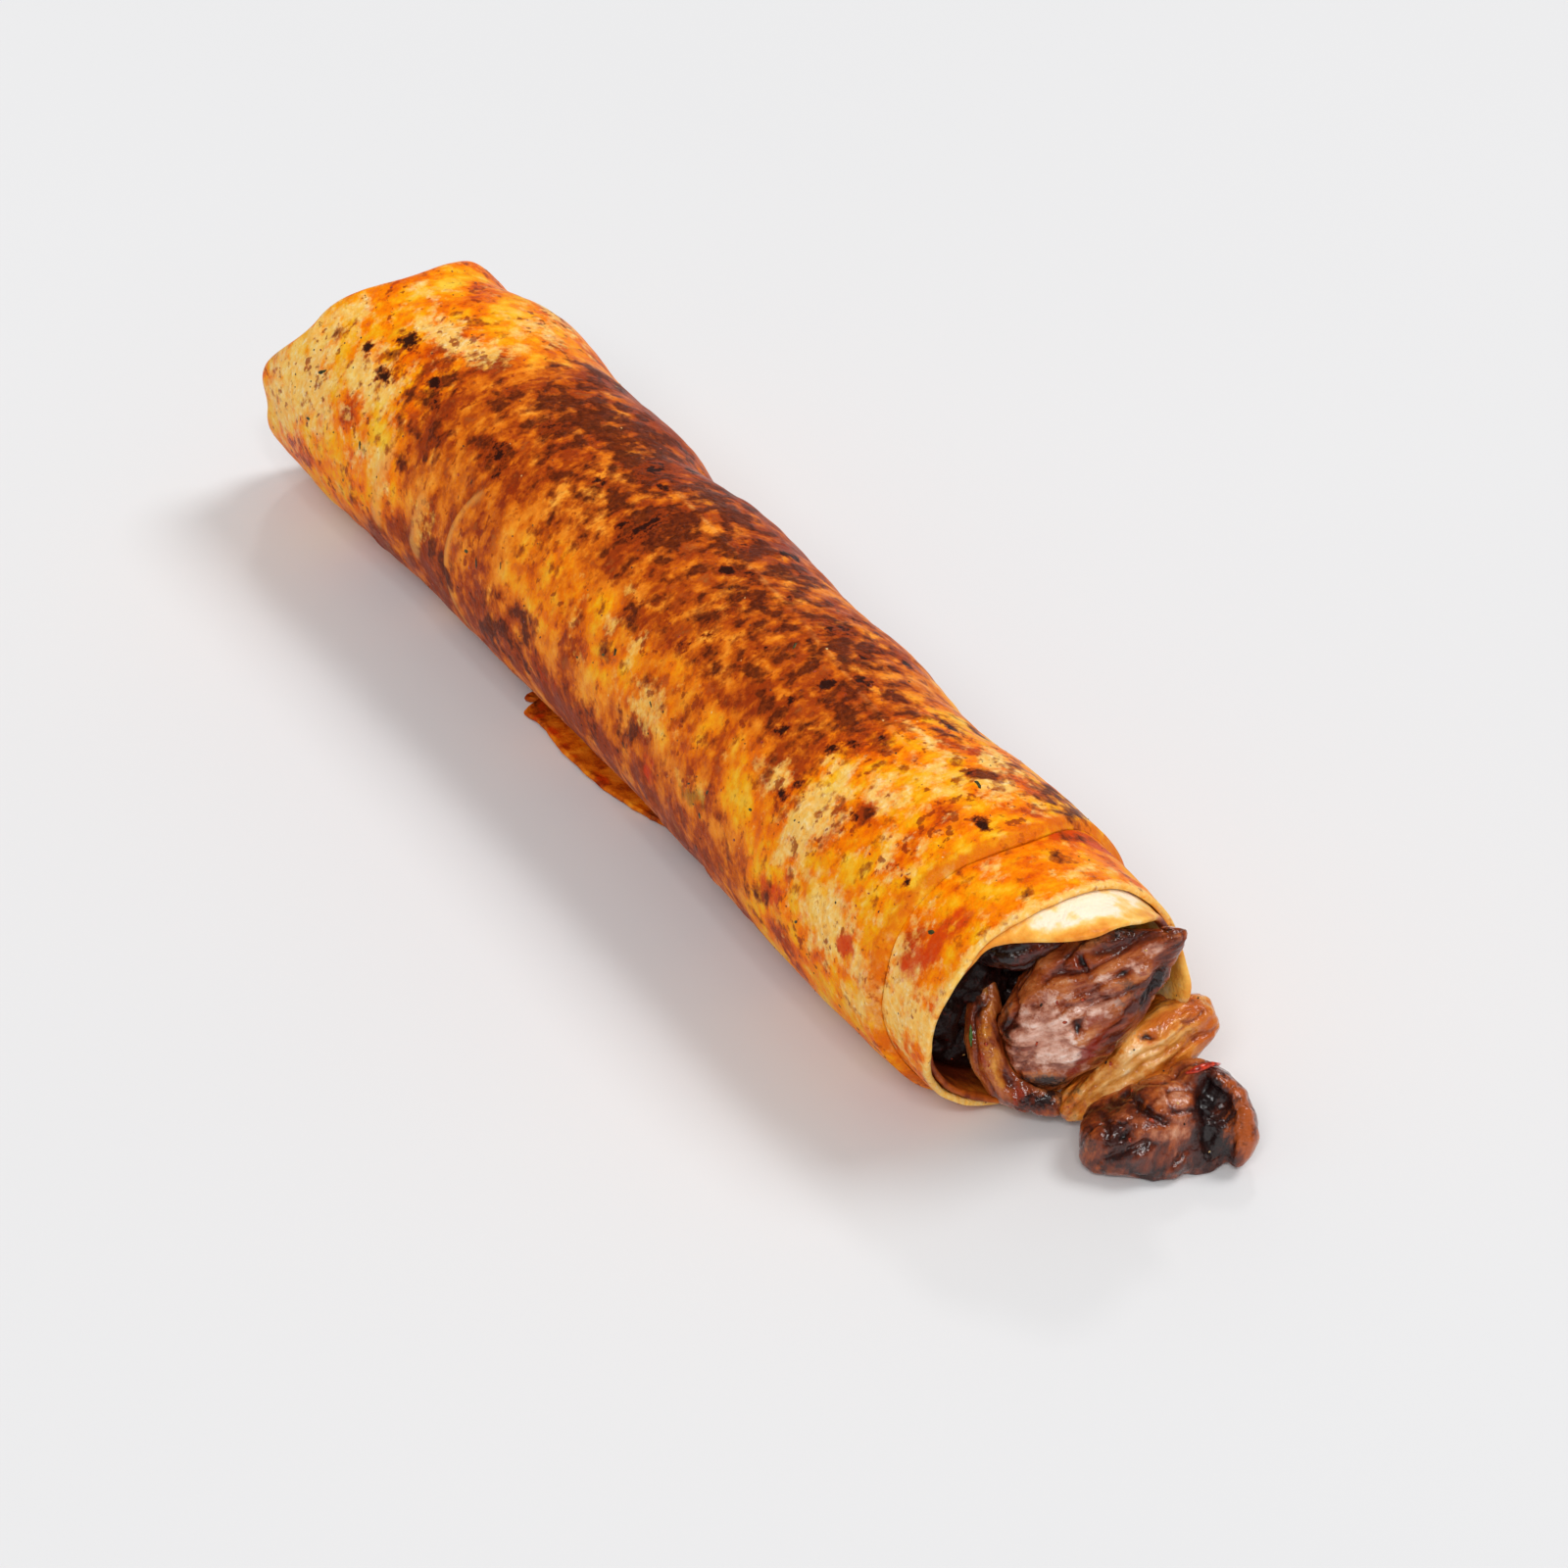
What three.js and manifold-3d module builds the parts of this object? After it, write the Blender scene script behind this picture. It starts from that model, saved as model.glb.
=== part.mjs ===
// Kebab wrap: grilled meat rolled up in three turns of lavash, griddled on top, folded shut at one
// end and open at the other, where the meat spills out of the mouth.
// Millimetres, +Z up, +X along the roll towards the mouth. Seen from the mouth, +Y is on the right.
// The roll lies on its sagged underside, a flat strip at z = 0.
import * as THREE from 'three';
import { mergeVertices } from 'three/addons/utils/BufferGeometryUtils.js';
import Module from 'manifold-3d';

const wasm = await Module();
wasm.setup();

// ---------------------------------------------------------------- driving dimensions
const AXIS_HEIGHT = 31.5; // height of the roll's axis over the table
const SHEET = 1.5; // thickness of one turn of lavash
const CLEARANCE = 0.35; // between pieces that touch

const FAR_RADIUS = 33.0; // outer turn at the folded end
const SEAM_RADIUS = 32.6; // outer turn at its cut edge near the mouth
const RIM_RADIUS = 30.1; // middle turn at the mouth, where the roll tapers
const LIP_FLARE = 0.6; // how far the inner turn opens at its own edge
const SEAM_X = 285.5; // cut edge of the outer turn, from the folded end
const MIDDLE_RIM_X = 308; // cut edge of the middle turn
const INNER_RIM_X = 321; // furthest reach of the pale inner turn

const TUCKED_X = 36; // where the two inner turns start, behind the folded end
const OVERLAP_X = 97; // crosswise edge where the near half of the outer turn laps the far half
const OVERLAP_STEP = 1.2; // height of that lap
const FOLD_RADIUS = 5; // roundness of the folded end
const TIGHT_LENGTH = 14; // next to its edge the outer turn lies close on the middle turn
const BORE_SLACK = 1.4; // how much deeper than one sheet the outer turn is elsewhere
const FILLING_FACE_X = 292; // where the packed filling ends, inside the mouth

const ROUND_STEPS = 40; // facets round the roll
const DEGREE = Math.PI / 180;

// The roll is stuffed unevenly: gentle swellings (+) and hollows (-) of the outer turn.
// turn is the angle from the top of the roll towards +Y, in degrees.
const SWELLINGS = [
  { x: 47, turn: 60, rise: 2.4, long: 13, wide: 40 },
  { x: 28, turn: 60, rise: -3.2, long: 8, wide: 32 },
  { x: 105, turn: 60, rise: 1.0, long: 8, wide: 26 },
  { x: 122, turn: 60, rise: -1.7, long: 9, wide: 30 },
  { x: 150, turn: 55, rise: 0.9, long: 12, wide: 30 },
  { x: 181, turn: 60, rise: -1.0, long: 9, wide: 30 },
  { x: 236, turn: 55, rise: -2.2, long: 13, wide: 34 },
  { x: 272, turn: 55, rise: 0.5, long: 10, wide: 30 },
  { x: 22, turn: -120, rise: 1.5, long: 22, wide: 45 },
  { x: 158, turn: -115, rise: -1.2, long: 38, wide: 45 },
  { x: 255, turn: -115, rise: 1.0, long: 22, wide: 45 },
  { x: 205, turn: -10, rise: 0.8, long: 30, wide: 30 },
];

// ---------------------------------------------------------------- helpers
const { lerp, clamp, smoothstep, euclideanModulo } = THREE.MathUtils;

// Signed difference between two turns, in degrees, the short way round.
function turnBetween(a, b) {
  return euclideanModulo(a - b + 180, 360) - 180;
}

function bell(distance, width) {
  return Math.exp(-0.5 * (distance / width) ** 2);
}

// A length that varies round the roll: values at even steps from the underside by -Y to the top
// and back by +Y, eased between.
function roundTheRoll(values) {
  return (turn) => {
    const place = (euclideanModulo(turn + 180, 360) / 360) * values.length;
    const index = Math.floor(place) % values.length;
    const ease = (1 - Math.cos(Math.PI * (place - Math.floor(place)))) / 2;
    return lerp(values[index], values[(index + 1) % values.length], ease);
  };
}

// A closed skin over rings of equal length: capped by two poles, or joined last ring to first.
function skin(rings, poles = []) {
  const count = rings[0].length;
  const points = [...rings.flat(), ...poles];
  const faces = [];
  const joins = poles.length ? rings.length - 1 : rings.length;
  const last = (rings.length - 1) * count;
  for (let i = 0; i < count; i += 1) {
    const j = (i + 1) % count;
    for (let r = 0; r < joins; r += 1) {
      const a = r * count;
      const b = ((r + 1) % rings.length) * count;
      faces.push(a + i, b + j, a + j, a + i, b + i, b + j);
    }
    if (poles.length) {
      faces.push(points.length - 2, i, j, points.length - 1, last + j, last + i);
    }
  }
  const geometry = new THREE.BufferGeometry().setFromPoints(points);
  geometry.setIndex(faces);
  return geometry;
}

function toSolid(geometry) {
  return new wasm.Manifold(new wasm.Mesh({
    numProp: 3,
    vertProperties: new Float32Array(geometry.attributes.position.array),
    triVerts: new Uint32Array(geometry.index.array),
  }));
}

function fromSolid(solid) {
  const mesh = solid.getMesh();
  const geometry = new THREE.BufferGeometry();
  geometry.setAttribute('position', new THREE.BufferAttribute(mesh.vertProperties, 3));
  geometry.setIndex(new THREE.BufferAttribute(mesh.triVerts, 1));
  return geometry;
}

function piece(name, geometry, color, roughness) {
  const material = new THREE.MeshStandardMaterial({ color, roughness, metalness: 0 });
  const mesh = new THREE.Mesh(geometry, material);
  mesh.name = name;
  return mesh;
}

// ---------------------------------------------------------------- the roll's form
// A ring round the roll, flattened where it meets its floor. x and radius may vary with the turn.
function ringOf(x, radius, floor = 0) {
  const at = (value, turn) => (typeof value === 'function' ? value(turn) : value);
  return Array.from({ length: ROUND_STEPS }, (_, i) => {
    const turn = (i / ROUND_STEPS) * 360;
    const y = at(radius, turn) * Math.sin(turn * DEGREE);
    const z = AXIS_HEIGHT + at(radius, turn) * Math.cos(turn * DEGREE);
    return new THREE.Vector3(at(x, turn), y, Math.max(floor, z));
  });
}

function plainRadius(x) {
  return lerp(FAR_RADIUS, SEAM_RADIUS, x / SEAM_X);
}

// Where the folded end, the seam and the two rims lie round the roll.
const endX = roundTheRoll([0, -4, 0.5, 15, 22.5, 18.5, 11, 4]);
const seamX = roundTheRoll([4, 4.5, 1, 0, 3.8, -1.5, 0, 3].map((reach) => SEAM_X + reach));
const middleRimX = roundTheRoll([-11, -9, -3.5, -1, 1.2, 0.5, 0, -5].map((reach) => MIDDLE_RIM_X + reach));
const innerRimX = roundTheRoll([-20, -22, -20, -15, 0, -2, -6, -14].map((reach) => INNER_RIM_X + reach));

const PLEAT = { turn: -97, deep: 3.5, wide: 7, long: 9 }; // fold line at the -Y side of the end
const CORNER = { turn: 26, rise: 2.4, wide: 15, long: 7 }; // raised corner of the folded end

// The crosswise lap on the -Y side: its edge curves, and it dies out to the top and the underside.
function lapAt(turn) {
  const from = turnBetween(turn, -84);
  return {
    x: OVERLAP_X + 6 * (from / 40) ** 2 * (1 - smoothstep(Math.abs(from), 50, 90)),
    step: OVERLAP_STEP * (1 - smoothstep(Math.abs(from), 22, 46)),
  };
}

// Outside of the outer turn.
function outerRadius(x, turn) {
  let radius = plainRadius(x);
  for (const swelling of SWELLINGS) {
    const along = bell(x - swelling.x, swelling.long);
    radius += swelling.rise * along * bell(turnBetween(turn, swelling.turn), swelling.wide);
  }
  const lap = lapAt(turn);
  if (x < lap.x) {
    radius -= lap.step * (1 - smoothstep(lap.x - x, 0, 55));
  }
  const fromEnd = x - endX(turn);
  const pleat = bell(turnBetween(turn, PLEAT.turn), PLEAT.wide) * bell(fromEnd, PLEAT.long);
  const corner = bell(turnBetween(turn, CORNER.turn), CORNER.wide) * bell(fromEnd, CORNER.long);
  return radius - 0.4 * PLEAT.deep * pleat + CORNER.rise * corner;
}

// Inside of the outer turn: plain, drawn in where it is hidden, close under the sheet at the seam.
function boreRadius(x, turn) {
  const hidden = clamp((seamX(turn) - x) / TIGHT_LENGTH, 0, 1);
  return plainRadius(x) - SHEET - BORE_SLACK * hidden;
}

// Outside of the middle turn, which tapers once it is past the seam.
function middleRadius(x, turn) {
  const seam = seamX(turn);
  const pastSeam = Math.max(0, (x - seam) / (MIDDLE_RIM_X - seam));
  return lerp(boreRadius(Math.min(x, seam), turn) - CLEARANCE, RIM_RADIUS, pastSeam);
}

// Outside of the inner turn, which opens a little once it is clear of the middle turn's edge.
function innerRadius(x, turn) {
  const clearOfMiddle = MIDDLE_RIM_X + 3;
  const opening = Math.max(0, (x - clearOfMiddle) / (INNER_RIM_X - clearOfMiddle));
  const under = middleRadius(Math.min(x, clearOfMiddle), turn) - SHEET - CLEARANCE;
  return under + LIP_FLARE * opening;
}

// ---------------------------------------------------------------- outer turn of lavash
const END_DISH = 4; // how far the tucked end face is drawn in at its middle
const END_MIDDLE_X = 9; // where the middle of the end face lies, before the dish

// The sheet folded in over the end: a tilted face, dished towards the middle.
function endFaceRing(share) {
  const x = (turn) => lerp(END_MIDDLE_X + END_DISH, endX(turn), share)
    + PLEAT.deep * share * bell(turnBetween(turn, PLEAT.turn), 2 * PLEAT.wide);
  return ringOf(x, (turn) => share * (outerRadius(endX(turn), turn) - FOLD_RADIUS));
}

// The rounded fold between the end face and the side; angle runs from the face to the side.
function foldRing(angle) {
  const along = FOLD_RADIUS * (1 - Math.cos(angle));
  const inward = FOLD_RADIUS * (1 - Math.sin(angle));
  const x = (turn) => endX(turn) + along
    + PLEAT.deep * Math.cos(angle) * bell(turnBetween(turn, PLEAT.turn), PLEAT.wide);
  return ringOf(x, (turn) => outerRadius(endX(turn) + along, turn) - inward);
}

function sideRing(x) {
  return ringOf(x, (turn) => outerRadius(x(turn), turn));
}

function lavashOuter() {
  const rings = [0.25, 0.5, 0.75, 1].map(endFaceRing);
  const foldSteps = 3;
  for (let i = 1; i <= foldSteps; i += 1) {
    rings.push(foldRing((i / foldSteps) * 90 * DEGREE));
  }
  const farSteps = 6;
  for (let i = 1; i < farSteps; i += 1) {
    rings.push(sideRing((turn) => lerp(endX(turn) + FOLD_RADIUS, lapAt(turn).x, i / farSteps)));
  }
  rings.push(sideRing((turn) => lapAt(turn).x - 0.5));
  rings.push(sideRing((turn) => lapAt(turn).x + 0.1));
  const nearSteps = 14;
  for (let i = 1; i < nearSteps; i += 1) {
    rings.push(sideRing((turn) => lerp(lapAt(turn).x, seamX(turn), i / nearSteps)));
  }
  rings.push(sideRing((turn) => seamX(turn) - 0.7));
  rings.push(ringOf(seamX, (turn) => outerRadius(SEAM_X, turn) - 0.5, 0.3));
  rings.push(ringOf(seamX, SEAM_RADIUS - SHEET, SHEET));
  const tightX = (turn) => seamX(turn) - TIGHT_LENGTH;
  rings.push(ringOf(tightX, (turn) => boreRadius(tightX(turn), turn), SHEET));
  for (const x of [150, TUCKED_X]) {
    rings.push(ringOf(x, (turn) => boreRadius(x, turn), SHEET));
  }
  rings.push(ringOf((turn) => endX(turn) + 9, (turn) => boreRadius(0, turn) - 4, SHEET));
  const outerPole = new THREE.Vector3(END_MIDDLE_X + END_DISH, 0, AXIS_HEIGHT);
  const innerPole = outerPole.clone().setX(outerPole.x + 6);
  const sock = toSolid(skin(rings, [outerPole, innerPole]));
  return fromSolid(sock.add(floorFlap()));
}

// The loose edge of the sheet, which lies on the table along the -Y side, with a small tear in it.
const FLAP = { from: 112, to: 186, reach: -24.3, root: -7, tearX: 116.5, tearDeep: 3.5 };

function floorFlap() {
  const outline = new THREE.Shape();
  outline.moveTo(FLAP.from + 3, FLAP.root);
  outline.lineTo(FLAP.from, FLAP.reach + 8);
  outline.lineTo(FLAP.from + 2, FLAP.reach + 4);
  outline.lineTo(FLAP.tearX - 1, FLAP.reach + 3);
  outline.lineTo(FLAP.tearX, FLAP.reach + 3 + FLAP.tearDeep);
  outline.lineTo(FLAP.tearX + 2, FLAP.reach + 2.6);
  outline.quadraticCurveTo(FLAP.from + 26, FLAP.reach - 2, FLAP.from + 46, FLAP.reach + 5.6);
  outline.quadraticCurveTo(FLAP.to - 12, FLAP.reach + 6.6, FLAP.to, FLAP.reach + 9);
  outline.lineTo(FLAP.to + 5, FLAP.root);
  const plate = new THREE.ExtrudeGeometry(outline, {
    depth: SHEET,
    bevelEnabled: false,
    curveSegments: 5,
  });
  plate.deleteAttribute('normal');
  plate.deleteAttribute('uv');
  return toSolid(mergeVertices(plate));
}

// ---------------------------------------------------------------- middle and inner turns
// An open tube of one sheet: plain where it is hidden, finer where it shows at the mouth.
// radius(x, turn) is its outside; hidden lists stations, each a distance along the roll by turn.
// grow fattens the sheet on every side, to cut a neighbour back from it.
function openTurn({ radius, rimX, hidden, showSteps, floor, grow }) {
  const wall = (x, inset) => ringOf(x, (turn) => radius(x(turn), turn) - inset, floor + inset);
  const edge = (turn) => rimX(turn) + grow;
  const outside = hidden.map((x) => wall(x, -grow));
  const inside = hidden.map((x) => wall(x, SHEET + grow)).reverse();
  const showFrom = hidden.at(-1);
  for (let i = 1; i <= showSteps; i += 1) {
    outside.push(wall((turn) => lerp(showFrom(turn), edge(turn) - 0.6, i / showSteps), -grow));
  }
  return skin([...outside, wall(edge, 0.4 - grow), wall(edge, SHEET + grow), ...inside]);
}

const MIDDLE_FLOOR = SHEET + CLEARANCE;
const INNER_FLOOR = MIDDLE_FLOOR + SHEET + CLEARANCE;

function lavashMiddle(grow = 0) {
  return openTurn({
    radius: middleRadius,
    rimX: middleRimX,
    hidden: [() => TUCKED_X, (turn) => seamX(turn) - TIGHT_LENGTH, seamX],
    showSteps: 4,
    floor: MIDDLE_FLOOR,
    grow,
  });
}

function lavashInner(grow = 0) {
  const nearRim = (turn) => innerRimX(turn) - 6;
  return openTurn({
    radius: innerRadius,
    rimX: innerRimX,
    hidden: [() => TUCKED_X, (turn) => seamX(turn) - TIGHT_LENGTH, seamX, nearRim],
    showSteps: 4,
    floor: INNER_FLOOR,
    grow,
  });
}

// ---------------------------------------------------------------- filling
const FILLING_FLOOR = INNER_FLOOR + SHEET + CLEARANCE;
const INNER_WALL = SHEET + CLEARANCE; // from the outside of the inner turn to the filling

// Uneven surface of packed or cut meat: a slow wave over the solid, between -1 and 1.
function wobble(point, phase) {
  return 0.5 * Math.sin(0.42 * point.x + 0.33 * point.z + phase)
    + 0.5 * Math.sin(0.47 * point.y - 0.39 * point.z + 2.3 * phase);
}

// The meat packed into the roll: one core from the folded end to its uneven face in the mouth.
function filling() {
  const side = (x, share) => ringOf(
    x,
    (turn) => share * (innerRadius(x(turn), turn) - INNER_WALL),
    FILLING_FLOOR,
  );
  const rings = [side(() => TUCKED_X + 2, 0.8), side(() => TUCKED_X + 8, 1)];
  rings.push(side((turn) => seamX(turn) - TIGHT_LENGTH, 1));
  rings.push(side(() => FILLING_FACE_X - 12, 1), side(() => FILLING_FACE_X - 4, 0.97));
  for (const share of [0.8, 0.5, 0.22]) {
    const ring = side(() => FILLING_FACE_X, share);
    rings.push(ring.map((p) => p.setX(p.x + 1.6 * wobble(p, 1))));
  }
  const poleAt = (x) => new THREE.Vector3(x, 0, AXIS_HEIGHT);
  return skin(rings, [poleAt(TUCKED_X + 2), poleAt(FILLING_FACE_X)]);
}

// ---------------------------------------------------------------- cuts of meat
const CHUNK_STEPS = 10;
const CHUNK_SIDES = 16;
const END_ANGLE = 0.17; // how close to its tip a cut's first section lies, as an angle

function sample(values, share) {
  const place = share * (values.length - 1);
  const index = Math.min(Math.floor(place), values.length - 2);
  return lerp(values[index], values[index + 1], place - index);
}

// A cut of meat along a spine, in half-widths and half-depths at even steps; facing is the side
// that its broad face shows to. grow fattens it, to cut a neighbour back from it.
function chunk(shape, grow = 0) {
  const { spine, wide, deep, facing, knobs, phase } = shape;
  const { square = 0.8, blunt = 0.6, floor = -Infinity } = shape;
  const curve = new THREE.CatmullRomCurve3(spine.map((p) => new THREE.Vector3(...p)));
  const front = new THREE.Vector3(...facing).normalize();
  const rounded = (value) => Math.sign(value) * Math.abs(value) ** square;
  const settle = (point) => point.setZ(Math.max(floor, point.z));
  const rings = [];
  for (let s = 0; s <= CHUNK_STEPS; s += 1) {
    const angle = lerp(END_ANGLE, Math.PI - END_ANGLE, s / CHUNK_STEPS);
    const share = (1 - Math.cos(angle)) / 2;
    const along = curve.getTangentAt(share);
    const across = new THREE.Vector3().crossVectors(along, front).normalize();
    const out = new THREE.Vector3().crossVectors(across, along);
    const fullness = Math.sin(angle) ** blunt;
    const ring = [];
    for (let i = 0; i < CHUNK_SIDES; i += 1) {
      const around = (i / CHUNK_SIDES) * 2 * Math.PI;
      const offset = new THREE.Vector3()
        .addScaledVector(across, rounded(Math.cos(around)) * (fullness * sample(wide, share) + grow))
        .addScaledVector(out, rounded(Math.sin(around)) * (fullness * sample(deep, share) + grow));
      const point = curve.getPointAt(share).add(offset);
      const bump = knobs * fullness * wobble(point, phase);
      ring.push(settle(point.addScaledVector(offset.normalize(), bump)));
    }
    rings.push(ring);
  }
  const poles = [0, 1].map((end) => {
    const reach = grow * (2 * end - 1);
    return settle(curve.getPointAt(end).addScaledVector(curve.getTangentAt(end), reach));
  });
  return toSolid(skin(rings, poles));
}

const TO_MOUTH = [0.7, -0.41, 0.58]; // the way the open mouth and the cuts in it face

// The big slice that leans in the mouth, its tip on the rim at the top right.
const LARGE = {
  spine: [[302.5, -1, 8], [304.4, 1.6, 23], [307.8, 8.3, 34.6], [313.6, 15.6, 44.6], [321, 20.8, 52.1]],
  wide: [8.5, 13, 12.6, 10.2, 5.8],
  deep: [6, 8, 8, 6, 3.5],
  facing: TO_MOUTH,
  knobs: 0.8,
  phase: 0.4,
};

// The pale fatty cut that slides out under the slice.
const FATTY = {
  spine: [[316.6, 33, 23.2], [314, 26.5, 20.8], [311.5, 17, 15], [310, 8, 9], [310, -0.5, 4.8]],
  wide: [6, 8, 7.4, 5.5, 4.2],
  deep: [7, 8, 8, 6, 4],
  facing: [0.8, -0.45, 0.15],
  square: 0.6,
  blunt: 0.45,
  knobs: 0.4,
  phase: 3.1,
};

// The strip curled round the slice on the -Y side and under it.
const SIDE = {
  spine: [[288, -6, 31], [291, -8.2, 24], [295.5, -9, 15.5], [299.5, -7.5, 10], [305, -4, 7.4], [310.5, 1, 7]],
  wide: [4.4, 4.8, 4.8, 4.8, 4.6, 4],
  deep: [4, 4.5, 4.5, 4.5, 4, 3],
  facing: TO_MOUTH,
  knobs: 0.5,
  phase: 1.1,
};

// The dark cut further in, at the top of the mouth.
const INSIDE = {
  spine: [[287, -11, 38], [292, -4, 41], [297, 4, 43], [300, 13, 44]],
  wide: [5, 7, 7, 6],
  deep: [5, 6, 6, 5],
  facing: TO_MOUTH,
  knobs: 0.7,
  phase: 2.0,
};

// The cut that has slid out on to the table: a knobbly lobe, skin folded round its end, and the
// hollow between the two.
const FRONT_LOBE = {
  spine: [[318.8, -1.5, 6], [323, 4.5, 6.2], [326.6, 11.5, 7.6], [329, 17, 9.4], [330.4, 21.5, 8.6]],
  wide: [6.6, 7.6, 9.4, 10.4, 8],
  deep: [7.2, 8.8, 9.2, 8.6, 6.5],
  facing: [0.86, -0.45, 0.1],
  square: 0.62,
  blunt: 0.35,
  knobs: 0.9,
  phase: 4.2,
  floor: 0,
};
const FRONT_HOLLOW = {
  spine: [[323, 13, 7.6], [327.5, 18, 7], [331.6, 23, 6.2], [334, 27.5, 5]],
  wide: [10, 11, 10, 7],
  deep: [7, 8.6, 8.6, 6.5],
  facing: [0.86, -0.45, 0.1],
  square: 0.7,
  blunt: 0.4,
  knobs: 0.4,
  phase: 2.6,
  floor: 0,
};
const FRONT_FOLD = {
  spine: [[322, 18.6, 16.8], [327.2, 24.4, 17.6], [332.6, 27.4, 14.2], [337.2, 27, 7.8], [338.6, 24, 1]],
  wide: [3, 3.2, 3.2, 3.2, 3.2],
  deep: [4, 5, 5.5, 5.5, 5],
  facing: [0.86, -0.45, 0.5],
  knobs: 0.3,
  phase: 5.0,
  floor: 0,
};

// ---------------------------------------------------------------- the whole wrap
// A cut with whatever it would run into taken away; only its main body is kept.
function trimmed(solid, neighbours) {
  const rest = neighbours.reduce((body, neighbour) => body.subtract(neighbour), solid);
  return rest.decompose().sort((a, b) => b.volume() - a.volume())[0];
}

const sheets = [toSolid(lavashInner(CLEARANCE)), toSolid(lavashMiddle(CLEARANCE))];
const large = trimmed(chunk(LARGE), sheets);
const roomForLarge = chunk(LARGE, CLEARANCE);
const fatty = trimmed(chunk(FATTY), [...sheets, roomForLarge]);
const roomForFatty = chunk(FATTY, CLEARANCE);
const side = trimmed(chunk(SIDE), [...sheets, roomForLarge, roomForFatty]);
const roomForSide = chunk(SIDE, CLEARANCE);
const inside = trimmed(chunk(INSIDE), [...sheets, roomForLarge, roomForSide]);
const roomForInside = chunk(INSIDE, CLEARANCE);
const spilled = chunk(FRONT_LOBE).add(chunk(FRONT_HOLLOW)).add(chunk(FRONT_FOLD));
const front = trimmed(spilled, [roomForLarge, roomForFatty, roomForSide]);
const core = trimmed(toSolid(filling()), [roomForLarge, roomForFatty, roomForSide, roomForInside]);

const wrap = new THREE.Group();
wrap.add(piece('lavash_outer', lavashOuter(), 0xe8932a, 0.5));
wrap.add(piece('lavash_middle', lavashMiddle(), 0xf0a63c, 0.5));
wrap.add(piece('lavash_inner', lavashInner(), 0xf6dda8, 0.7));
wrap.add(piece('filling', fromSolid(core), 0x5a2418, 0.5));
wrap.add(piece('meat_large', fromSolid(large), 0x7a4034, 0.4));
wrap.add(piece('meat_fatty', fromSolid(fatty), 0xd9a561, 0.4));
wrap.add(piece('meat_side', fromSolid(side), 0x8a4a20, 0.3));
wrap.add(piece('meat_inside', fromSolid(inside), 0x5c1f16, 0.4));
wrap.add(piece('meat_front', fromSolid(front), 0x4e2414, 0.35));

// The origin is the middle of the wrap's footprint, on the table.
const extent = new THREE.Box3().setFromObject(wrap);
const middle = extent.getCenter(new THREE.Vector3());
wrap.position.set(-middle.x, -middle.y, -extent.min.z);
wrap.updateMatrixWorld();

export default wrap;
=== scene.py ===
# %% [markdown]
# # A griddled meat wrap
# Thin lavash rolled three times round grilled meat. The roll is folded shut at one end, pressed on
# a hot griddle, and open at the other end, where the meat spills out. We take the plain solids as a
# frame, lay a fine skin of bread over them, give the meat its grain and gloss, and scatter herbs.
# Everything is made from numbers in millimetres, so each one can be read as a real size.

# %% Load the frame
from functools import partial

import bpy
import numpy as np
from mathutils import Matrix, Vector
from mathutils.bvhtree import BVHTree


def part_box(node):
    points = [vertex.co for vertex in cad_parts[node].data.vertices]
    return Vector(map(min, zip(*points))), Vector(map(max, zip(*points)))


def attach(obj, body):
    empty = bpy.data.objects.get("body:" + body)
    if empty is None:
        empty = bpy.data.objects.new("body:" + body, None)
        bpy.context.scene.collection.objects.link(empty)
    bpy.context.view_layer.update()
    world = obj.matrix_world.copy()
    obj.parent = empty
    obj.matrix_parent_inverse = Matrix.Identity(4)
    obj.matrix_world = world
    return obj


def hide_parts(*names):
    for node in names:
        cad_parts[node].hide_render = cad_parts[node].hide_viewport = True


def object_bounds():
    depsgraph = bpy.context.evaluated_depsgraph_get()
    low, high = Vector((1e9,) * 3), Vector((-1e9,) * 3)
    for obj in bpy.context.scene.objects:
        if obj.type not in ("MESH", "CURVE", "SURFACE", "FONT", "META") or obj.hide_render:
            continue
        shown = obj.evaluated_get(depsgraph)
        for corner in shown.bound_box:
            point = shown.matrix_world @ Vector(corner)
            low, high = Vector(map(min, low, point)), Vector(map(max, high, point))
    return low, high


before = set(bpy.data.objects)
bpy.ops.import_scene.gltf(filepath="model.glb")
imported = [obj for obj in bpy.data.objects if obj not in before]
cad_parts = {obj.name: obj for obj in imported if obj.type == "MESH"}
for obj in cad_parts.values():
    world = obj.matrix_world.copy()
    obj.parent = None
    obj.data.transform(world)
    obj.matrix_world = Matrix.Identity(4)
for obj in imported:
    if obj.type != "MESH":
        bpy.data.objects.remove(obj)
cad_low, cad_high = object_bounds()
MM = 0.001
print("solids:", sorted(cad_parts))

# %% [markdown]
# ## Tools for shaping
# Bread and meat are never even. A real surface is uneven at many sizes at once: slow swellings,
# finger-wide dents, grains. One function gives a random but repeatable unevenness at a chosen size,
# and another adds finer and finer layers of it. Both read the same numbers on every run.

# %% Unevenness that repeats on every run
SCRAMBLERS = 374761393, 668265263, 1103515245, 974711  # large odd numbers for x, y, z and the seed
LAST_SCRAMBLER, HALF_OF_32_BITS = 1274126177, 2.0**31


def lattice_value(cell, seed):
    """A fixed random value from -1 to 1 for every whole-number corner of space."""
    a, b, c, d = SCRAMBLERS
    n = (cell[..., 0] * a + cell[..., 1] * b + cell[..., 2] * c + seed * d).astype(np.uint32)
    n = (n ^ (n >> np.uint32(13))) * np.uint32(LAST_SCRAMBLER)
    n = n ^ (n >> np.uint32(16))
    return n / HALF_OF_32_BITS - 1.0


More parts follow.
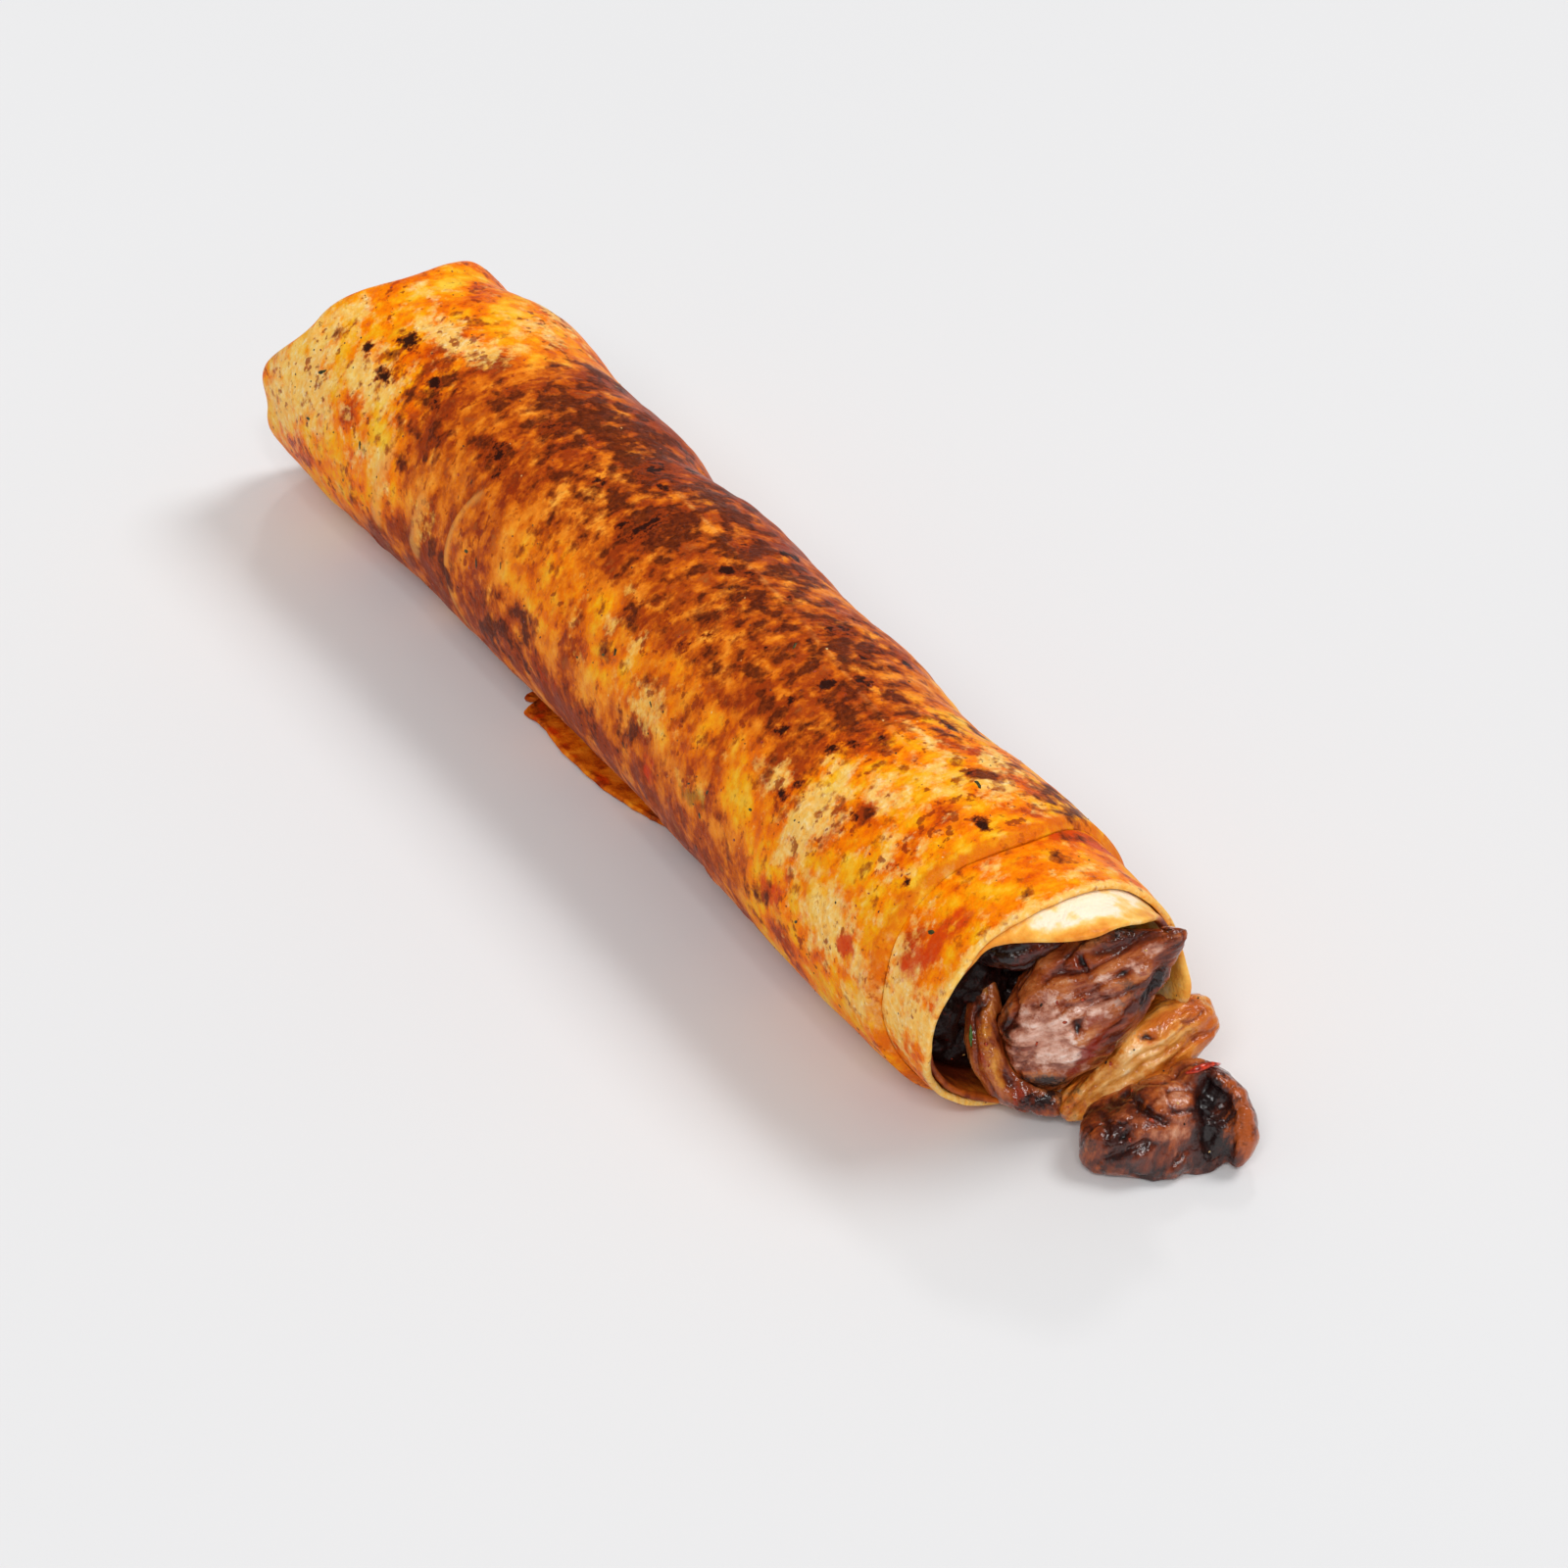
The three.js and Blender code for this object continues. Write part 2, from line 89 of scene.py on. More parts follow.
def uneven(points, size, seed):
    """Smooth unevenness between -1 and 1; its lumps are about `size` across."""
    place = np.asarray(points) / size + 0.37 * seed
    cell = np.floor(place).astype(np.int64)
    inside = place - cell
    inside = inside * inside * (3 - 2 * inside)
    total = 0.0
    for corner in np.ndindex(2, 2, 2):
        share = np.prod(np.where(corner, inside, 1 - inside), axis=-1)
        total = total + share * lattice_value(cell + np.array(corner), seed)
    return total


def layered(points, size, seed, layers=4):
    """Unevenness with finer layers on top, each half as big and half as high."""
    return sum(uneven(points, size / 2**k, seed + 11 * k) * 0.5**k for k in range(layers))


def bell(distance, width):
    """1 at no distance, and softly down to nothing at about three widths."""
    return np.exp(-0.5 * (distance / width) ** 2)


def eased(value, low, high):
    """0 below low, 1 above high, and a soft step between."""
    share = np.clip((value - low) / (high - low), 0, 1)
    return share * share * (3 - 2 * share)


def soft_oval(x, y, steepness=0.9):
    """1 in the middle of an oval whose half sizes are 1, and fading outwards."""
    return np.exp(-steepness * (x**2 + y**2))


# %% [markdown]
# A mesh is a list of points and a list of faces, and a face names its points by number. Bread is made
# as rings of points, so one function joins ring to ring with four-sided faces. The last ring either
# meets the first again, or each end is closed by fans of triangles round one point.

# %% Meshes from arrays
def mesh_piece(name, points, faces):
    """A smooth-shaded piece from points in metres."""
    mesh = bpy.data.meshes.new(name)
    mesh.from_pydata(np.asarray(points).reshape(-1, 3).tolist(), [], faces)
    mesh.update()
    mesh.shade_smooth()
    piece = bpy.data.objects.new(name, mesh)
    bpy.context.scene.collection.objects.link(piece)
    print(f"{name}: {len(mesh.polygons)} faces")
    return piece


def skin_faces(rings, around, closed=False, caps=False):
    """Faces over `rings` rings of `around` points, closed to a torus, or capped by two last points."""
    faces = []
    for r in range(rings if closed else rings - 1):
        a, b = r * around, ((r + 1) % rings) * around
        faces += [(a + i, a + (i + 1) % around, b + (i + 1) % around, b + i) for i in range(around)]
    if caps:
        first, last, end = rings * around, rings * around + 1, (rings - 1) * around
        faces += [(first, (i + 1) % around, i) for i in range(around)]
        faces += [(last, end + i, end + (i + 1) % around) for i in range(around)]
    return faces


# %% [markdown]
# ## The form of the roll
# Every sheet of the roll is measured the same way: how far along from the folded end, how far round
# from the top (towards +Y), and how far out from the roll's axis. The main sizes are those of the
# solids: a roll 66 mm across that tapers to the mouth, sagged flat where it lies on the table.

# %% Sizes of the roll, in millimetres and degrees
AXIS_HEIGHT = 31.5
SHEET = 1.5  # thickness of the bread
FAR_RADIUS, SEAM_RADIUS, RIM_RADIUS = 33.0, 32.6, 30.1
SEAM_AT, MIDDLE_RIM_AT, INNER_RIM_AT = 285.5, 308.0, 321.0  # where the three turns end
LAP_AT, LAP_TURN, LAP_STEP, LAP_FADE = 97.0, -84.0, 1.2, 55.0  # a crosswise lap of the outer turn
FOLD_RADIUS = 5.0  # how round the bread folds over at the far end
PINCH_TURN, CORNER_TURN = -97.0, 26.0  # a pinch and a raised corner of that fold
TIGHT_LENGTH, BORE_SLACK, CLEARANCE = 14.0, 1.4, 0.35  # how loosely one turn lies in the next
LIP_FLARE = 0.6
TUCKED_AT = 36.0  # where the hidden turns begin
MIDDLE_FLOOR = SHEET + CLEARANCE
INNER_FLOOR = MIDDLE_FLOOR + SHEET + CLEARANCE
ARC = np.radians(1.0) * FAR_RADIUS  # one degree of turn, in mm round the roll

SWELLINGS = [  # along, round, rise, how long, how wide in degrees
    (47, 60, 2.4, 13, 40), (28, 60, -3.2, 8, 32), (105, 60, 1.0, 8, 26), (122, 60, -1.7, 9, 30),
    (150, 55, 0.9, 12, 30), (181, 60, -1.0, 9, 30), (236, 55, -2.2, 13, 34), (272, 55, 0.5, 10, 30),
    (22, -120, 1.5, 22, 45), (158, -115, -1.2, 38, 45), (255, -115, 1.0, 22, 45), (205, -10, 0.8, 30, 30),
]

_, inner_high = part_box("lavash_inner")
middle_low, middle_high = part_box("lavash_middle")
ORIGIN_ALONG = INNER_RIM_AT - inner_high.x / MM
ORIGIN_ACROSS = -(middle_low.y + middle_high.y) / 2 / MM
print(f"the folded end lies {ORIGIN_ALONG:.1f} mm behind the origin")

# %% [markdown]
# No two places on the roll are alike: its end slants, its cut edge and rims wander, and it swells over
# each lump of meat. So every size is a function, and we can ask for it anywhere on the roll. A length
# that varies round the roll is listed at eight turns and eased in between.

# %% The roll's outline, as functions of along and turn
def turn_between(a, b):
    """Degrees from turn b to turn a, the short way round."""
    return (a - b + 180) % 360 - 180


def round_the_roll(values):
    """A length that varies round the roll: values at even steps from the underside, by -Y, and back."""
    values = np.asarray(values, float)

    def at(turn):
        place = (turn + 180) % 360 / 360 * len(values)
        index = np.floor(place).astype(int)
        ease = (1 - np.cos(np.pi * (place - index))) / 2
        return (1 - ease) * values[index % len(values)] + ease * values[(index + 1) % len(values)]

    return at


end_at = round_the_roll([0, -4, 0.5, 15, 22.5, 18.5, 11, 4])
seam_at = round_the_roll(SEAM_AT + np.array([4, 4.5, 1, 0, 3.8, -1.5, 0, 3]))
middle_rim_at = round_the_roll(MIDDLE_RIM_AT + np.array([-11, -9, -3.5, -1, 1.2, 0.5, 0, -5]))
inner_rim_at = round_the_roll(INNER_RIM_AT + np.array([-20, -22, -20, -15, 0, -2, -6, -14]))


def plain_radius(along):
    """The outer turn before it swells: it tapers evenly to its cut edge."""
    return FAR_RADIUS + (SEAM_RADIUS - FAR_RADIUS) * along / SEAM_AT


def lap_at(turn):
    """Where the crosswise lap lies and how high its step is there; it bows, and fades to both sides."""
    off = turn_between(turn, LAP_TURN)
    along = LAP_AT + 6 * (off / 40) ** 2 * (1 - eased(np.abs(off), 50, 90))
    return along, LAP_STEP * (1 - eased(np.abs(off), 22, 46))


def outer_radius(along, turn):
    """The outside of the outer turn, with its swellings, its lap and the form of its fold."""
    radius = plain_radius(along)
    for s, t, rise, long, wide in SWELLINGS:
        radius = radius + rise * bell(along - s, long) * bell(turn_between(turn, t), wide)
    lap, step = lap_at(turn)
    radius = radius - np.where(along < lap, step * (1 - eased(lap - along, 0, LAP_FADE)), 0)
    from_end = along - end_at(turn)
    pinch = bell(turn_between(turn, PINCH_TURN), 7) * bell(from_end, 9)
    corner = bell(turn_between(turn, CORNER_TURN), 15) * bell(from_end, 7)
    return radius - 1.4 * pinch + 2.4 * corner


def bore_radius(along, turn):
    """The inside of the outer turn: tight at the cut edge and a little looser behind it."""
    hidden = np.clip((seam_at(turn) - along) / TIGHT_LENGTH, 0, 1)
    return plain_radius(along) - SHEET - BORE_SLACK * hidden


def middle_radius(along, turn):
    """The outside of the middle turn, which narrows from the cut edge to its own rim."""
    seam = seam_at(turn)
    past = np.maximum(0, (along - seam) / (MIDDLE_RIM_AT - seam))
    at_seam = bore_radius(np.minimum(along, seam), turn) - CLEARANCE
    return at_seam + (RIM_RADIUS - at_seam) * past


def inner_radius(along, turn):
    """The outside of the innermost turn, whose lip flares a little once it is free."""
    clear = MIDDLE_RIM_AT + 3
    opening = np.maximum(0, (along - clear) / (INNER_RIM_AT - clear))
    return middle_radius(np.minimum(along, clear), turn) - SHEET - CLEARANCE + LIP_FLARE * opening


def roll_points(along, turn, radius, floor=0.0):
    """Points in metres from the roll's own measures."""
    along, turn, radius = np.broadcast_arrays(along, turn, radius)
    y = radius * np.sin(np.radians(turn)) - ORIGIN_ACROSS
    z = np.maximum(floor, AXIS_HEIGHT + radius * np.cos(np.radians(turn)))
    return np.stack([along - ORIGIN_ALONG, y, z], axis=-1) * MM


# %% [markdown]
# ## What the griddle did
# The cook oils the roll and presses its top on a hot plate. Oil stained with paprika soaks in and
# turns the bread orange, dry places stay cream, bubbles toast brown and a few scorch black. We list
# the main places, each a soft oval on the roll, and let unevenness fray their edges. Each
# list becomes one value per point of the mesh, which the bread's finish reads as a mask.

# %% Marks on the bread: along, turn, half length, half width in mm, strength
TOASTED = [
    (100, 5, 18, 16, 0.9), (128, 4, 14, 12, 0.95), (150, -6, 14, 12, 1.0), (166, 12, 12, 9, 0.9),
    (186, -6, 14, 9, 0.75), (190, 14, 8, 6, 0.8), (210, 14, 12, 7, 0.8), (232, -12, 12, 8, 0.8),
    (52, -38, 8, 5, 0.35), (60, -28, 6, 4, 0.5), (274, 36, 12, 7, 0.8), (242, 38, 9, 5, 0.5),
    (282, 22, 7, 4, 0.5), (215, 10, 12, 8, 0.8), (236, 10, 12, 7, 0.6), (110, 30, 20, 12, 0.8),
    (140, 32, 16, 8, 0.7), (84, 34, 9, 8, 0.9), (118, 22, 14, 10, 0.95), (146, 24, 14, 10, 0.95),
    (178, 22, 10, 8, 0.8), (66, -32, 10, 10, 0.7), (84, -14, 9, 7, 0.75), (97, -33, 8, 7, 0.8),
    (76, -46, 7, 6, 0.6), (250, 12, 7, 5, 0.7), (268, 10, 6, 4, 0.7), (92, 22, 10, 8, 0.6),
    (200, -30, 14, 4, 0.75), (114, -34, 6, 4, 0.5), (130, -42, 9, 4, 0.5), (166, -42, 4, 6, 0.6),
    (55, -1, 3, 4, 0.6), (188, -40, 6, 4, 0.7), (222, -32, 12, 5, 0.8), (257, -37, 6, 4, 0.6),
    (95, -90, 9, 7, 0.8), (132, -82, 8, 6, 0.7), (180, -78, 6, 5, 0.6), (122, -96, 16, 8, 0.7),
    (70, -66, 6, 5, 0.5), (245, -90, 9, 6, 0.55), (160, -98, 16, 6, 0.5), (205, -100, 20, 5, 0.45),
    (60, -98, 18, 5, 0.35),
]
SCORCHED = [
    (47, -27, 3.4, 3.2, 1.0), (50, -43, 4.4, 2.0, 0.9), (39, -39, 2.6, 1.6, 0.9), (65, -30, 2.4, 2.2, 1.0),
    (70, -36, 3.0, 1.8, 0.8), (70, -45, 1.3, 2.2, 0.7), (98, -35, 3.8, 4.2, 0.8), (103, -39, 1.8, 1.8, 0.9),
    (101, -10, 3.6, 4.2, 0.7), (126, -12, 2.4, 2.2, 0.8), (128, 11, 4.0, 5.6, 0.85),
    (137, 7, 2.6, 1.6, 1.0), (148, -12, 2.4, 5.0, 0.95), (144, -21, 2.6, 2.6, 0.7),
    (174, -3, 3.2, 2.2, 0.95), (178, 2, 2.4, 2.0, 0.8), (127, 32, 3.6, 5.0, 0.8), (170, 32, 2.4, 5.4, 0.9),
    (166, 12, 3.2, 2.2, 0.6), (187, -17, 1.8, 2.0, 0.8), (189, -27, 2.4, 1.6, 0.8),
    (186, -38, 2.2, 1.8, 0.7), (221, -24, 1.8, 2.2, 0.95), (226, -33, 2.2, 2.2, 0.8),
    (223, -9, 3.2, 2.6, 0.8), (240, -26, 1.6, 2.2, 0.9), (240, -43, 1.6, 2.0, 0.9),
    (245, -11, 2.4, 2.4, 0.75), (242, -18, 2.0, 1.6, 0.8), (246, 21, 5.4, 1.8, 0.85),
    (217, 13, 2.2, 3.6, 0.75), (227, 2, 3.4, 1.8, 0.8), (282, -7, 3.4, 1.5, 1.0), (265, 5, 1.4, 1.2, 0.9),
    (282, -41, 1.8, 1.4, 0.7), (238, -52, 2.2, 1.4, 0.7), (205, 13, 3.4, 4.4, 0.7),
    (200, 30, 2.6, 5.0, 0.7), (218, 34, 3.0, 3.4, 0.7), (259, -38, 1.8, 1.2, 0.8), (190, 6, 2.2, 1.2, 0.7),
    (203, -17, 1.8, 1.6, 0.7),
]
PALE = [
    (20, -50, 10, 9, 0.6), (24, -72, 14, 9, 1.0), (14, -88, 8, 8, 0.8), (46, -48, 9, 6, 0.9),
    (52, -12, 9, 4, 1.0), (66, -8, 7, 5, 0.9), (68, 3, 4, 3, 0.8), (86, -80, 6, 8, 0.9),
    (62, -76, 8, 5, 0.5), (33, -6, 4, 3, 0.7), (27, -33, 4, 6, 0.6), (173, -56, 4, 14, 0.6),
    (188, -66, 9, 8, 0.75), (162, -50, 4, 5, 0.6), (162, -32, 4, 2, 0.7), (152, -62, 3, 6, 0.5),
    (231, -46, 5, 5, 0.9), (250, -52, 6, 11, 1.0), (268, -74, 8, 8, 1.0), (258, -24, 9, 5, 0.6),
    (264, -4, 8, 5, 0.5), (272, 14, 7, 6, 0.6), (262, 24, 5, 5, 0.8), (276, -34, 8, 5, 0.4),
    (244, -30, 6, 4, 0.6), (281, -88, 5, 8, 0.6), (60, 22, 10, 6, 0.5), (50, 40, 12, 5, 0.5),
    (134, -74, 4, 3, 0.6), (158, -72, 4, 3, 0.5), (204, -77, 4, 3, 0.8), (214, -76, 2, 3, 0.9),
    (240, 14, 5, 2.5, 0.4), (186, 16, 3, 4, 0.5), (253, 5, 8, 2.0, 0.5),
]
RED = [(276, -78, 4, 2.6, 1.0), (246, -86, 5, 5, 0.6), (193, -88, 5, 5, 0.5), (146, -95, 6, 5, 0.6)]
GREENED = [(166, -60, 4, 3, 1.0), (212, -80, 6, 3.5, 1.0), (56, -74, 3, 2, 0.6)]


# %% [markdown]
# A soft oval alone looks like a painted dot. So before we measure how far a point lies from a mark, we
# push the point about by an unevenness some mm high: the edge of the mark frays in the same way.

# %% From lists to masks
MARK_GRAIN = 9.0  # size in mm of the lumps that fray the marks


def ring_grid(along, turn, radius=0.55 * FAR_RADIUS):
    """Places to read unevenness at; with less than the true radius it is drawn out round the roll."""
    angle = np.radians(turn)
    return np.stack(np.broadcast_arrays(along, radius * np.sin(angle), radius * np.cos(angle)), axis=-1)


def marked(places, along, turn, fray, seed):
    """One mask from a list of soft ovals, with their edges frayed by unevenness in mm."""
    grid = ring_grid(along, turn, radius=20)
    along = along + fray * layered(grid, MARK_GRAIN, seed)
    shift = fray * layered(grid, MARK_GRAIN, seed + 5)
    mask = np.zeros(along.shape)
    for s, t, long, wide, strength in places:
        off = (turn_between(turn, t) * ARC + shift) / wide
        mask = np.maximum(mask, strength * soft_oval((along - s) / long, off))
    return mask


print(len(TOASTED), "toasted,", len(SCORCHED), "scorched and", len(PALE), "pale places")

# %% [markdown]
# ## The outer turn of bread
# A sheet this thin would curl if we just scaled noise over it, so we build it ring by ring, about a
# millimetre apart, like a knitted sock: the tucked end, the rounded fold, the long side, the cut edge
# near the mouth, and back inside. On the way each point gets its relief: slow dents from the meat
# beneath, blisters from the oven, a pressed crease along the top, and a fine floury grain.

# %% Relief of the bread, in mm
CREASES = [  # from along, turn, to along, turn, height, width
    (132, 9, 196, 4, 0.26, 0.65), (196, 4, 258, -6, 0.26, 0.6), (31, -46, 40, -22, -0.45, 1.1),
    (40, -22, 52, -5, -0.35, 1.0), (66, -58, 63, -104, 0.45, 1.6), (72, -60, 76, -100, -0.40, 1.8),
    (84, -66, 80, -104, 0.40, 1.5), (282, -7, 258, -4, -0.25, 1.2), (118, 44, 126, 66, -0.5, 2.2),
    (176, 40, 182, 70, -0.4, 2.2), (226, 38, 236, 70, -0.4, 2.0), (150, -86, 196, -78, -0.3, 1.8),
]


def crease_lines(along, turn):
    """Height of the ridges and creases, each a straight line on the rolled-out sheet."""
    total = np.zeros(np.broadcast(along, turn).shape)
    for s0, t0, s1, t1, height, width in CREASES:
        run = np.array([s1 - s0, (t1 - t0) * ARC])
        du, dv = along - s0, turn_between(turn, t0) * ARC
        share = np.clip((du * run[0] + dv * run[1]) / (run @ run), 0, 1)
        gap = np.hypot(du - share * run[0], dv - share * run[1])
        total = total + height * bell(gap, width) * np.clip(6 * share * (1 - share) + 0.3, 0, 1)
    return total


# %% [markdown]
# Steam lifts the dough in the oven and leaves small domes. They are many and follow no plan, so their
# places and sizes are drawn at random from a fixed seed, within the ranges of real ones.

# %% Blisters and grain
BLISTER_RANGES = [(20, 318), (-150, 150), (1.6, 4.2), (2.0, 6.0), (0.08, 0.42)]
rng = np.random.default_rng(12)
BLISTERS = np.column_stack([rng.uniform(least, most, 230) for least, most in BLISTER_RANGES])


def blisters(along, turn):
    """Height of the domes: along, turn, half length, half width and height of each are in its row."""
    total = np.zeros(along.shape)
    for s, t, long, wide, height in BLISTERS:
        off = ((along - s) / long) ** 2 + (turn_between(turn, t) * ARC / wide) ** 2
        total = np.maximum(total, height * np.maximum(0, 1 - off) ** 1.5)
    return total


def bread_relief(along, turn):
    """Slow dents, floury grain, domes and creases together."""
    grid = ring_grid(along, turn)
    slow = 0.40 * layered(grid, 15.0, 3, 3)
    grains = 0.10 * layered(grid, 3.2, 7, 3)
    return slow + grains + blisters(along, turn) + crease_lines(along, turn)


# %% [markdown]
# The cook shuts the far end by tucking the bread in with a thumb, all the way round. That leaves
# overlapping pleats: each rises sharply on one side, fades on the other, and twists as it runs out.

# %% Pleats of the folded end
AROUND = 240
turns = np.arange(AROUND) * 360.0 / AROUND - 180.0
END_MIDDLE, END_PROUD, PINCH_DEEP = 13.0, 1.2, 3.5
END_SHARES = np.linspace(0.03, 0.98, 34)  # rings of the end, as shares of the way out
TUCKS = [  # turn where it starts, height in mm, how far it twists on its way out
    (-160, 2.8, 30), (-120, 2.2, 62), (-72, 3.4, 45), (-38, 2.4, 20),
    (12, 3.6, 55), (58, 2.6, 32), (104, 3.4, 60), (146, 2.3, 26),
]


def past_tuck(turn, twist, share):
    """How many degrees past the foot of a pleat each point of one ring lies."""
    return turn_between(turns, turn + twist * share**2)


def tucks_at(share):
    """Height of the pleats on one ring of the folded end."""
    total = np.zeros(AROUND)
    for turn, height, twist in TUCKS:
        past = past_tuck(turn, twist, share)
        total = total + height * eased(past, -3, 2) * np.exp(-np.maximum(past, 0) / 20) * (past > -60)
    return total * np.sin(np.pi * np.clip(share, 0, 1)) ** 0.7


def tuck_valleys():
    """How near each point of the folded end lies to the foot of a pleat."""
    past = np.array([[past_tuck(turn, twist, share) for turn, _, twist in TUCKS] for share in END_SHARES])
    fade = eased(END_SHARES, 0.05, 0.3) * (1 - eased(END_SHARES, 0.6, 0.95))
    return np.max(bell(past + 3, 2.5), axis=1) * fade[:, None]


# %% [markdown]
# Now the whole sheet as rings, from the middle of the folded end over the outside to the cut edge,
# round that edge, and back inside. Each ring has three values: along, radius, and how much relief it
# takes. The edge needs close rings, because a thin rounded edge is what makes bread look like bread.

# %% Rings of the outer turn
RINGS_TO_LAP, RINGS_TO_EDGE = 80, 205
LAP_BEHIND, LAP_AHEAD = 0.4, 0.1  # how close to the step of the lap its two rings lie
EDGE_BEHIND = 1.2  # where the close rings of the cut edge take over
CUT_EDGE = [(0.8, 0.14), (0.4, 0.36), (0.05, 0.70), (-0.3, 1.10), (-0.75, 1.50), (-1.3, 1.85),
            (0.0, 1.85), (3.0, 1.5)]  # how far behind the edge, how far in


def fold_rings():
    """The folded end, from its middle out, and the round fold that joins it to the side."""
    rings = []
    for share in END_SHARES:
        pinch = PINCH_DEEP * share * bell(turn_between(turns, PINCH_TURN), 14)
        along = END_MIDDLE + (end_at(turns) - END_MIDDLE) * share + pinch - tucks_at(share) + END_PROUD
        rings.append((along, share * (outer_radius(end_at(turns), turns) - FOLD_RADIUS), 0.0))
    for angle in np.radians(np.linspace(9, 90, 9)):
        along = end_at(turns) + FOLD_RADIUS * (1 - np.cos(angle))
        pinch = PINCH_DEEP * np.cos(angle) * bell(turn_between(turns, PINCH_TURN), 7)
        radius = outer_radius(along, turns) - FOLD_RADIUS * (1 - np.sin(angle))
        rings.append((along + pinch, radius, np.sin(angle)))
    return rings


def outer_rings():
    """All rings of the outer turn, and how many of them show."""
    rings = fold_rings()
    lap, _ = lap_at(turns)
    start = end_at(turns) + FOLD_RADIUS
    for share in np.arange(1, RINGS_TO_LAP + 1) / RINGS_TO_LAP:
        along = start + (lap - LAP_BEHIND - start) * share
        rings.append((along, outer_radius(along, turns), 1.0))
    edge = seam_at(turns) + 0.35 * layered(ring_grid(np.full(AROUND, 300.0), turns), 9.0, 31, 3)
    for share in np.arange(0, RINGS_TO_EDGE + 1) / RINGS_TO_EDGE:
        along = lap + LAP_AHEAD + (edge - EDGE_BEHIND - lap - LAP_AHEAD) * share
        rings.append((along, outer_radius(along, turns), 1.0 - 0.5 * share**40))
    for back, down in CUT_EDGE:
        rings.append((edge - back, np.full(AROUND, SEAM_RADIUS) - down, 0.25 if down < 1 else 0.1))
    outside = len(rings) - 2
    for along in (edge - TIGHT_LENGTH, np.full(AROUND, 150.0), np.full(AROUND, TUCKED_AT),
                  end_at(turns) + 9):
        rings.append((along, bore_radius(along, turns), 0.0))
    return rings, outside


# %% [markdown]
# All three turns go through the same function: rings in, one mesh out. It holds every point above the
# table or above the sheet below, which is what gives the roll its flat, sagged underside.

# %% A sheet from its rings
def sheet_piece(name, rings, floor_out, floor_in, outside, relief, caps=()):
    """A sheet of bread from its rings; the first `outside` rings are the side that shows."""
    along = np.array([ring[0] for ring in rings])
    radius = np.array([ring[1] for ring in rings])
    weight = np.array([np.broadcast_to(ring[2], AROUND) for ring in rings])
    turn = np.broadcast_to(turns, along.shape)
    radius = radius + weight * relief(along, turn)
    floors = np.where(np.arange(len(rings)) < outside, floor_out, floor_in)[:, None]
    points = roll_points(along, turn, radius, floors).reshape(-1, 3)
    ends = [roll_points(s, 0.0, 0.0).reshape(1, 3) for s in caps]
    faces = skin_faces(len(rings), AROUND, closed=not caps, caps=bool(caps))
    piece = mesh_piece(name, np.concatenate([points, *ends]), faces)
    return piece, along, turn


def add_mark(piece, mark, values):
    """Writes one mask to a piece; points past the rings, at the poles, stay 0."""
    layer = piece.data.attributes.new(mark, "FLOAT", "POINT")
    full = np.zeros(len(piece.data.vertices), np.float32)
    full[:values.size] = values.ravel()
    layer.data.foreach_set("value", full)


# %% [markdown]
# The listed places aren't all: some marks follow from the form. The whole top was pressed, so it is
# browner. Oil gathered on the +Y shoulder, while a strip of the -Y side stayed dry. The low -Y side is
# darker, partly from oil and partly as painted shade, and the feet of the pleats and a strip under the
# lap are painted darker as painted shade. The step of the lap and the crease along the top stand
# proud and stayed lighter, and the cut edge took a line of stain.

# %% The outer turn and its marks
rings, outside = outer_rings()
outer, along, turn = sheet_piece(
    "griddled_bread", rings, 0.0, SHEET, outside, bread_relief, caps=(END_MIDDLE, END_MIDDLE + 6))
pressed_top = bell(turn + 4, 30) * eased(along, 70, 100) * (1 - eased(along, 236, 262))
add_mark(outer, "toasted", np.maximum(marked(TOASTED, along, turn, 2.2, 41), 0.55 * pressed_top))
add_mark(outer, "scorched", marked(SCORCHED, along, turn, 0.9, 43))
add_mark(outer, "pale", marked(PALE, along, turn, 2.4, 45))
add_mark(outer, "red", marked(RED, along, turn, 1.2, 47))
add_mark(outer, "green", marked(GREENED, along, turn, 1.5, 49))

lap, step = lap_at(turn)
on_lap = step / LAP_STEP * bell(along - lap - 0.9, 0.9)
# painted shade: a darker strip just under the step of the lap
below_lap = eased(np.abs(turn_between(turn, LAP_TURN)), 46, 22) * bell(along - lap + 1.6, 1.5)
in_crease = np.clip(crease_lines(along, turn) / 0.26, 0, 1) ** 2
add_mark(outer, "crease", np.maximum(in_crease, on_lap))
add_mark(outer, "stained", bell(seam_at(turn) - along, 1.6) * (along > 200))

middle_length = eased(along, 58, 88) * (1 - eased(along, 222, 252))
dry_strip = eased(along, 108, 138) * eased(-turn, 34, 46) * (1 - eased(-turn, 68, 80))
# the low -Y side is darker, partly oil and partly painted shade
low_from = 75 + 1.5 * np.maximum(turn + 91, -20)
low_side = eased(-turn, 78, 96) * (1 - eased(-turn, 130, 165))
low_side = low_side * eased(along, low_from - 15, low_from + 15) * (1 - eased(along, 200, 262))
right_side = eased(turn, 24, 36) * eased(along, 72, 90) * (1 - eased(along, 165, 200))
deep = np.maximum(0.65 * low_side, 0.6 * right_side) + below_lap
soaked = np.maximum(middle_length * (1 - 0.55 * dry_strip), 0.9 * low_side)
# painted shade: the feet of the pleats at the folded end are darker
for mark in (deep, soaked):
    mark[:len(END_SHARES)] = np.maximum(mark[:len(END_SHARES)], 0.6 * tuck_valleys())
add_mark(outer, "deep", deep)
add_mark(outer, "soaked", soaked)
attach(outer, "root")
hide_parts("lavash_outer")

# %% [markdown]
# ## The two turns that show at the mouth
# Under the outer turn the same sheet goes on round: one turn shows between the cut edge and the rim
# of the mouth, and the innermost turn reaches out furthest, pale because it never touched the
# griddle. Where they are hidden they need only a few rings.

# %% Rings of an open turn
RIM_EDGE = [(0.25, 0.12), (0.02, 0.4), (0.0, 0.75), (0.08, 1.1), (0.35, 1.38)]  # how far behind, how far in


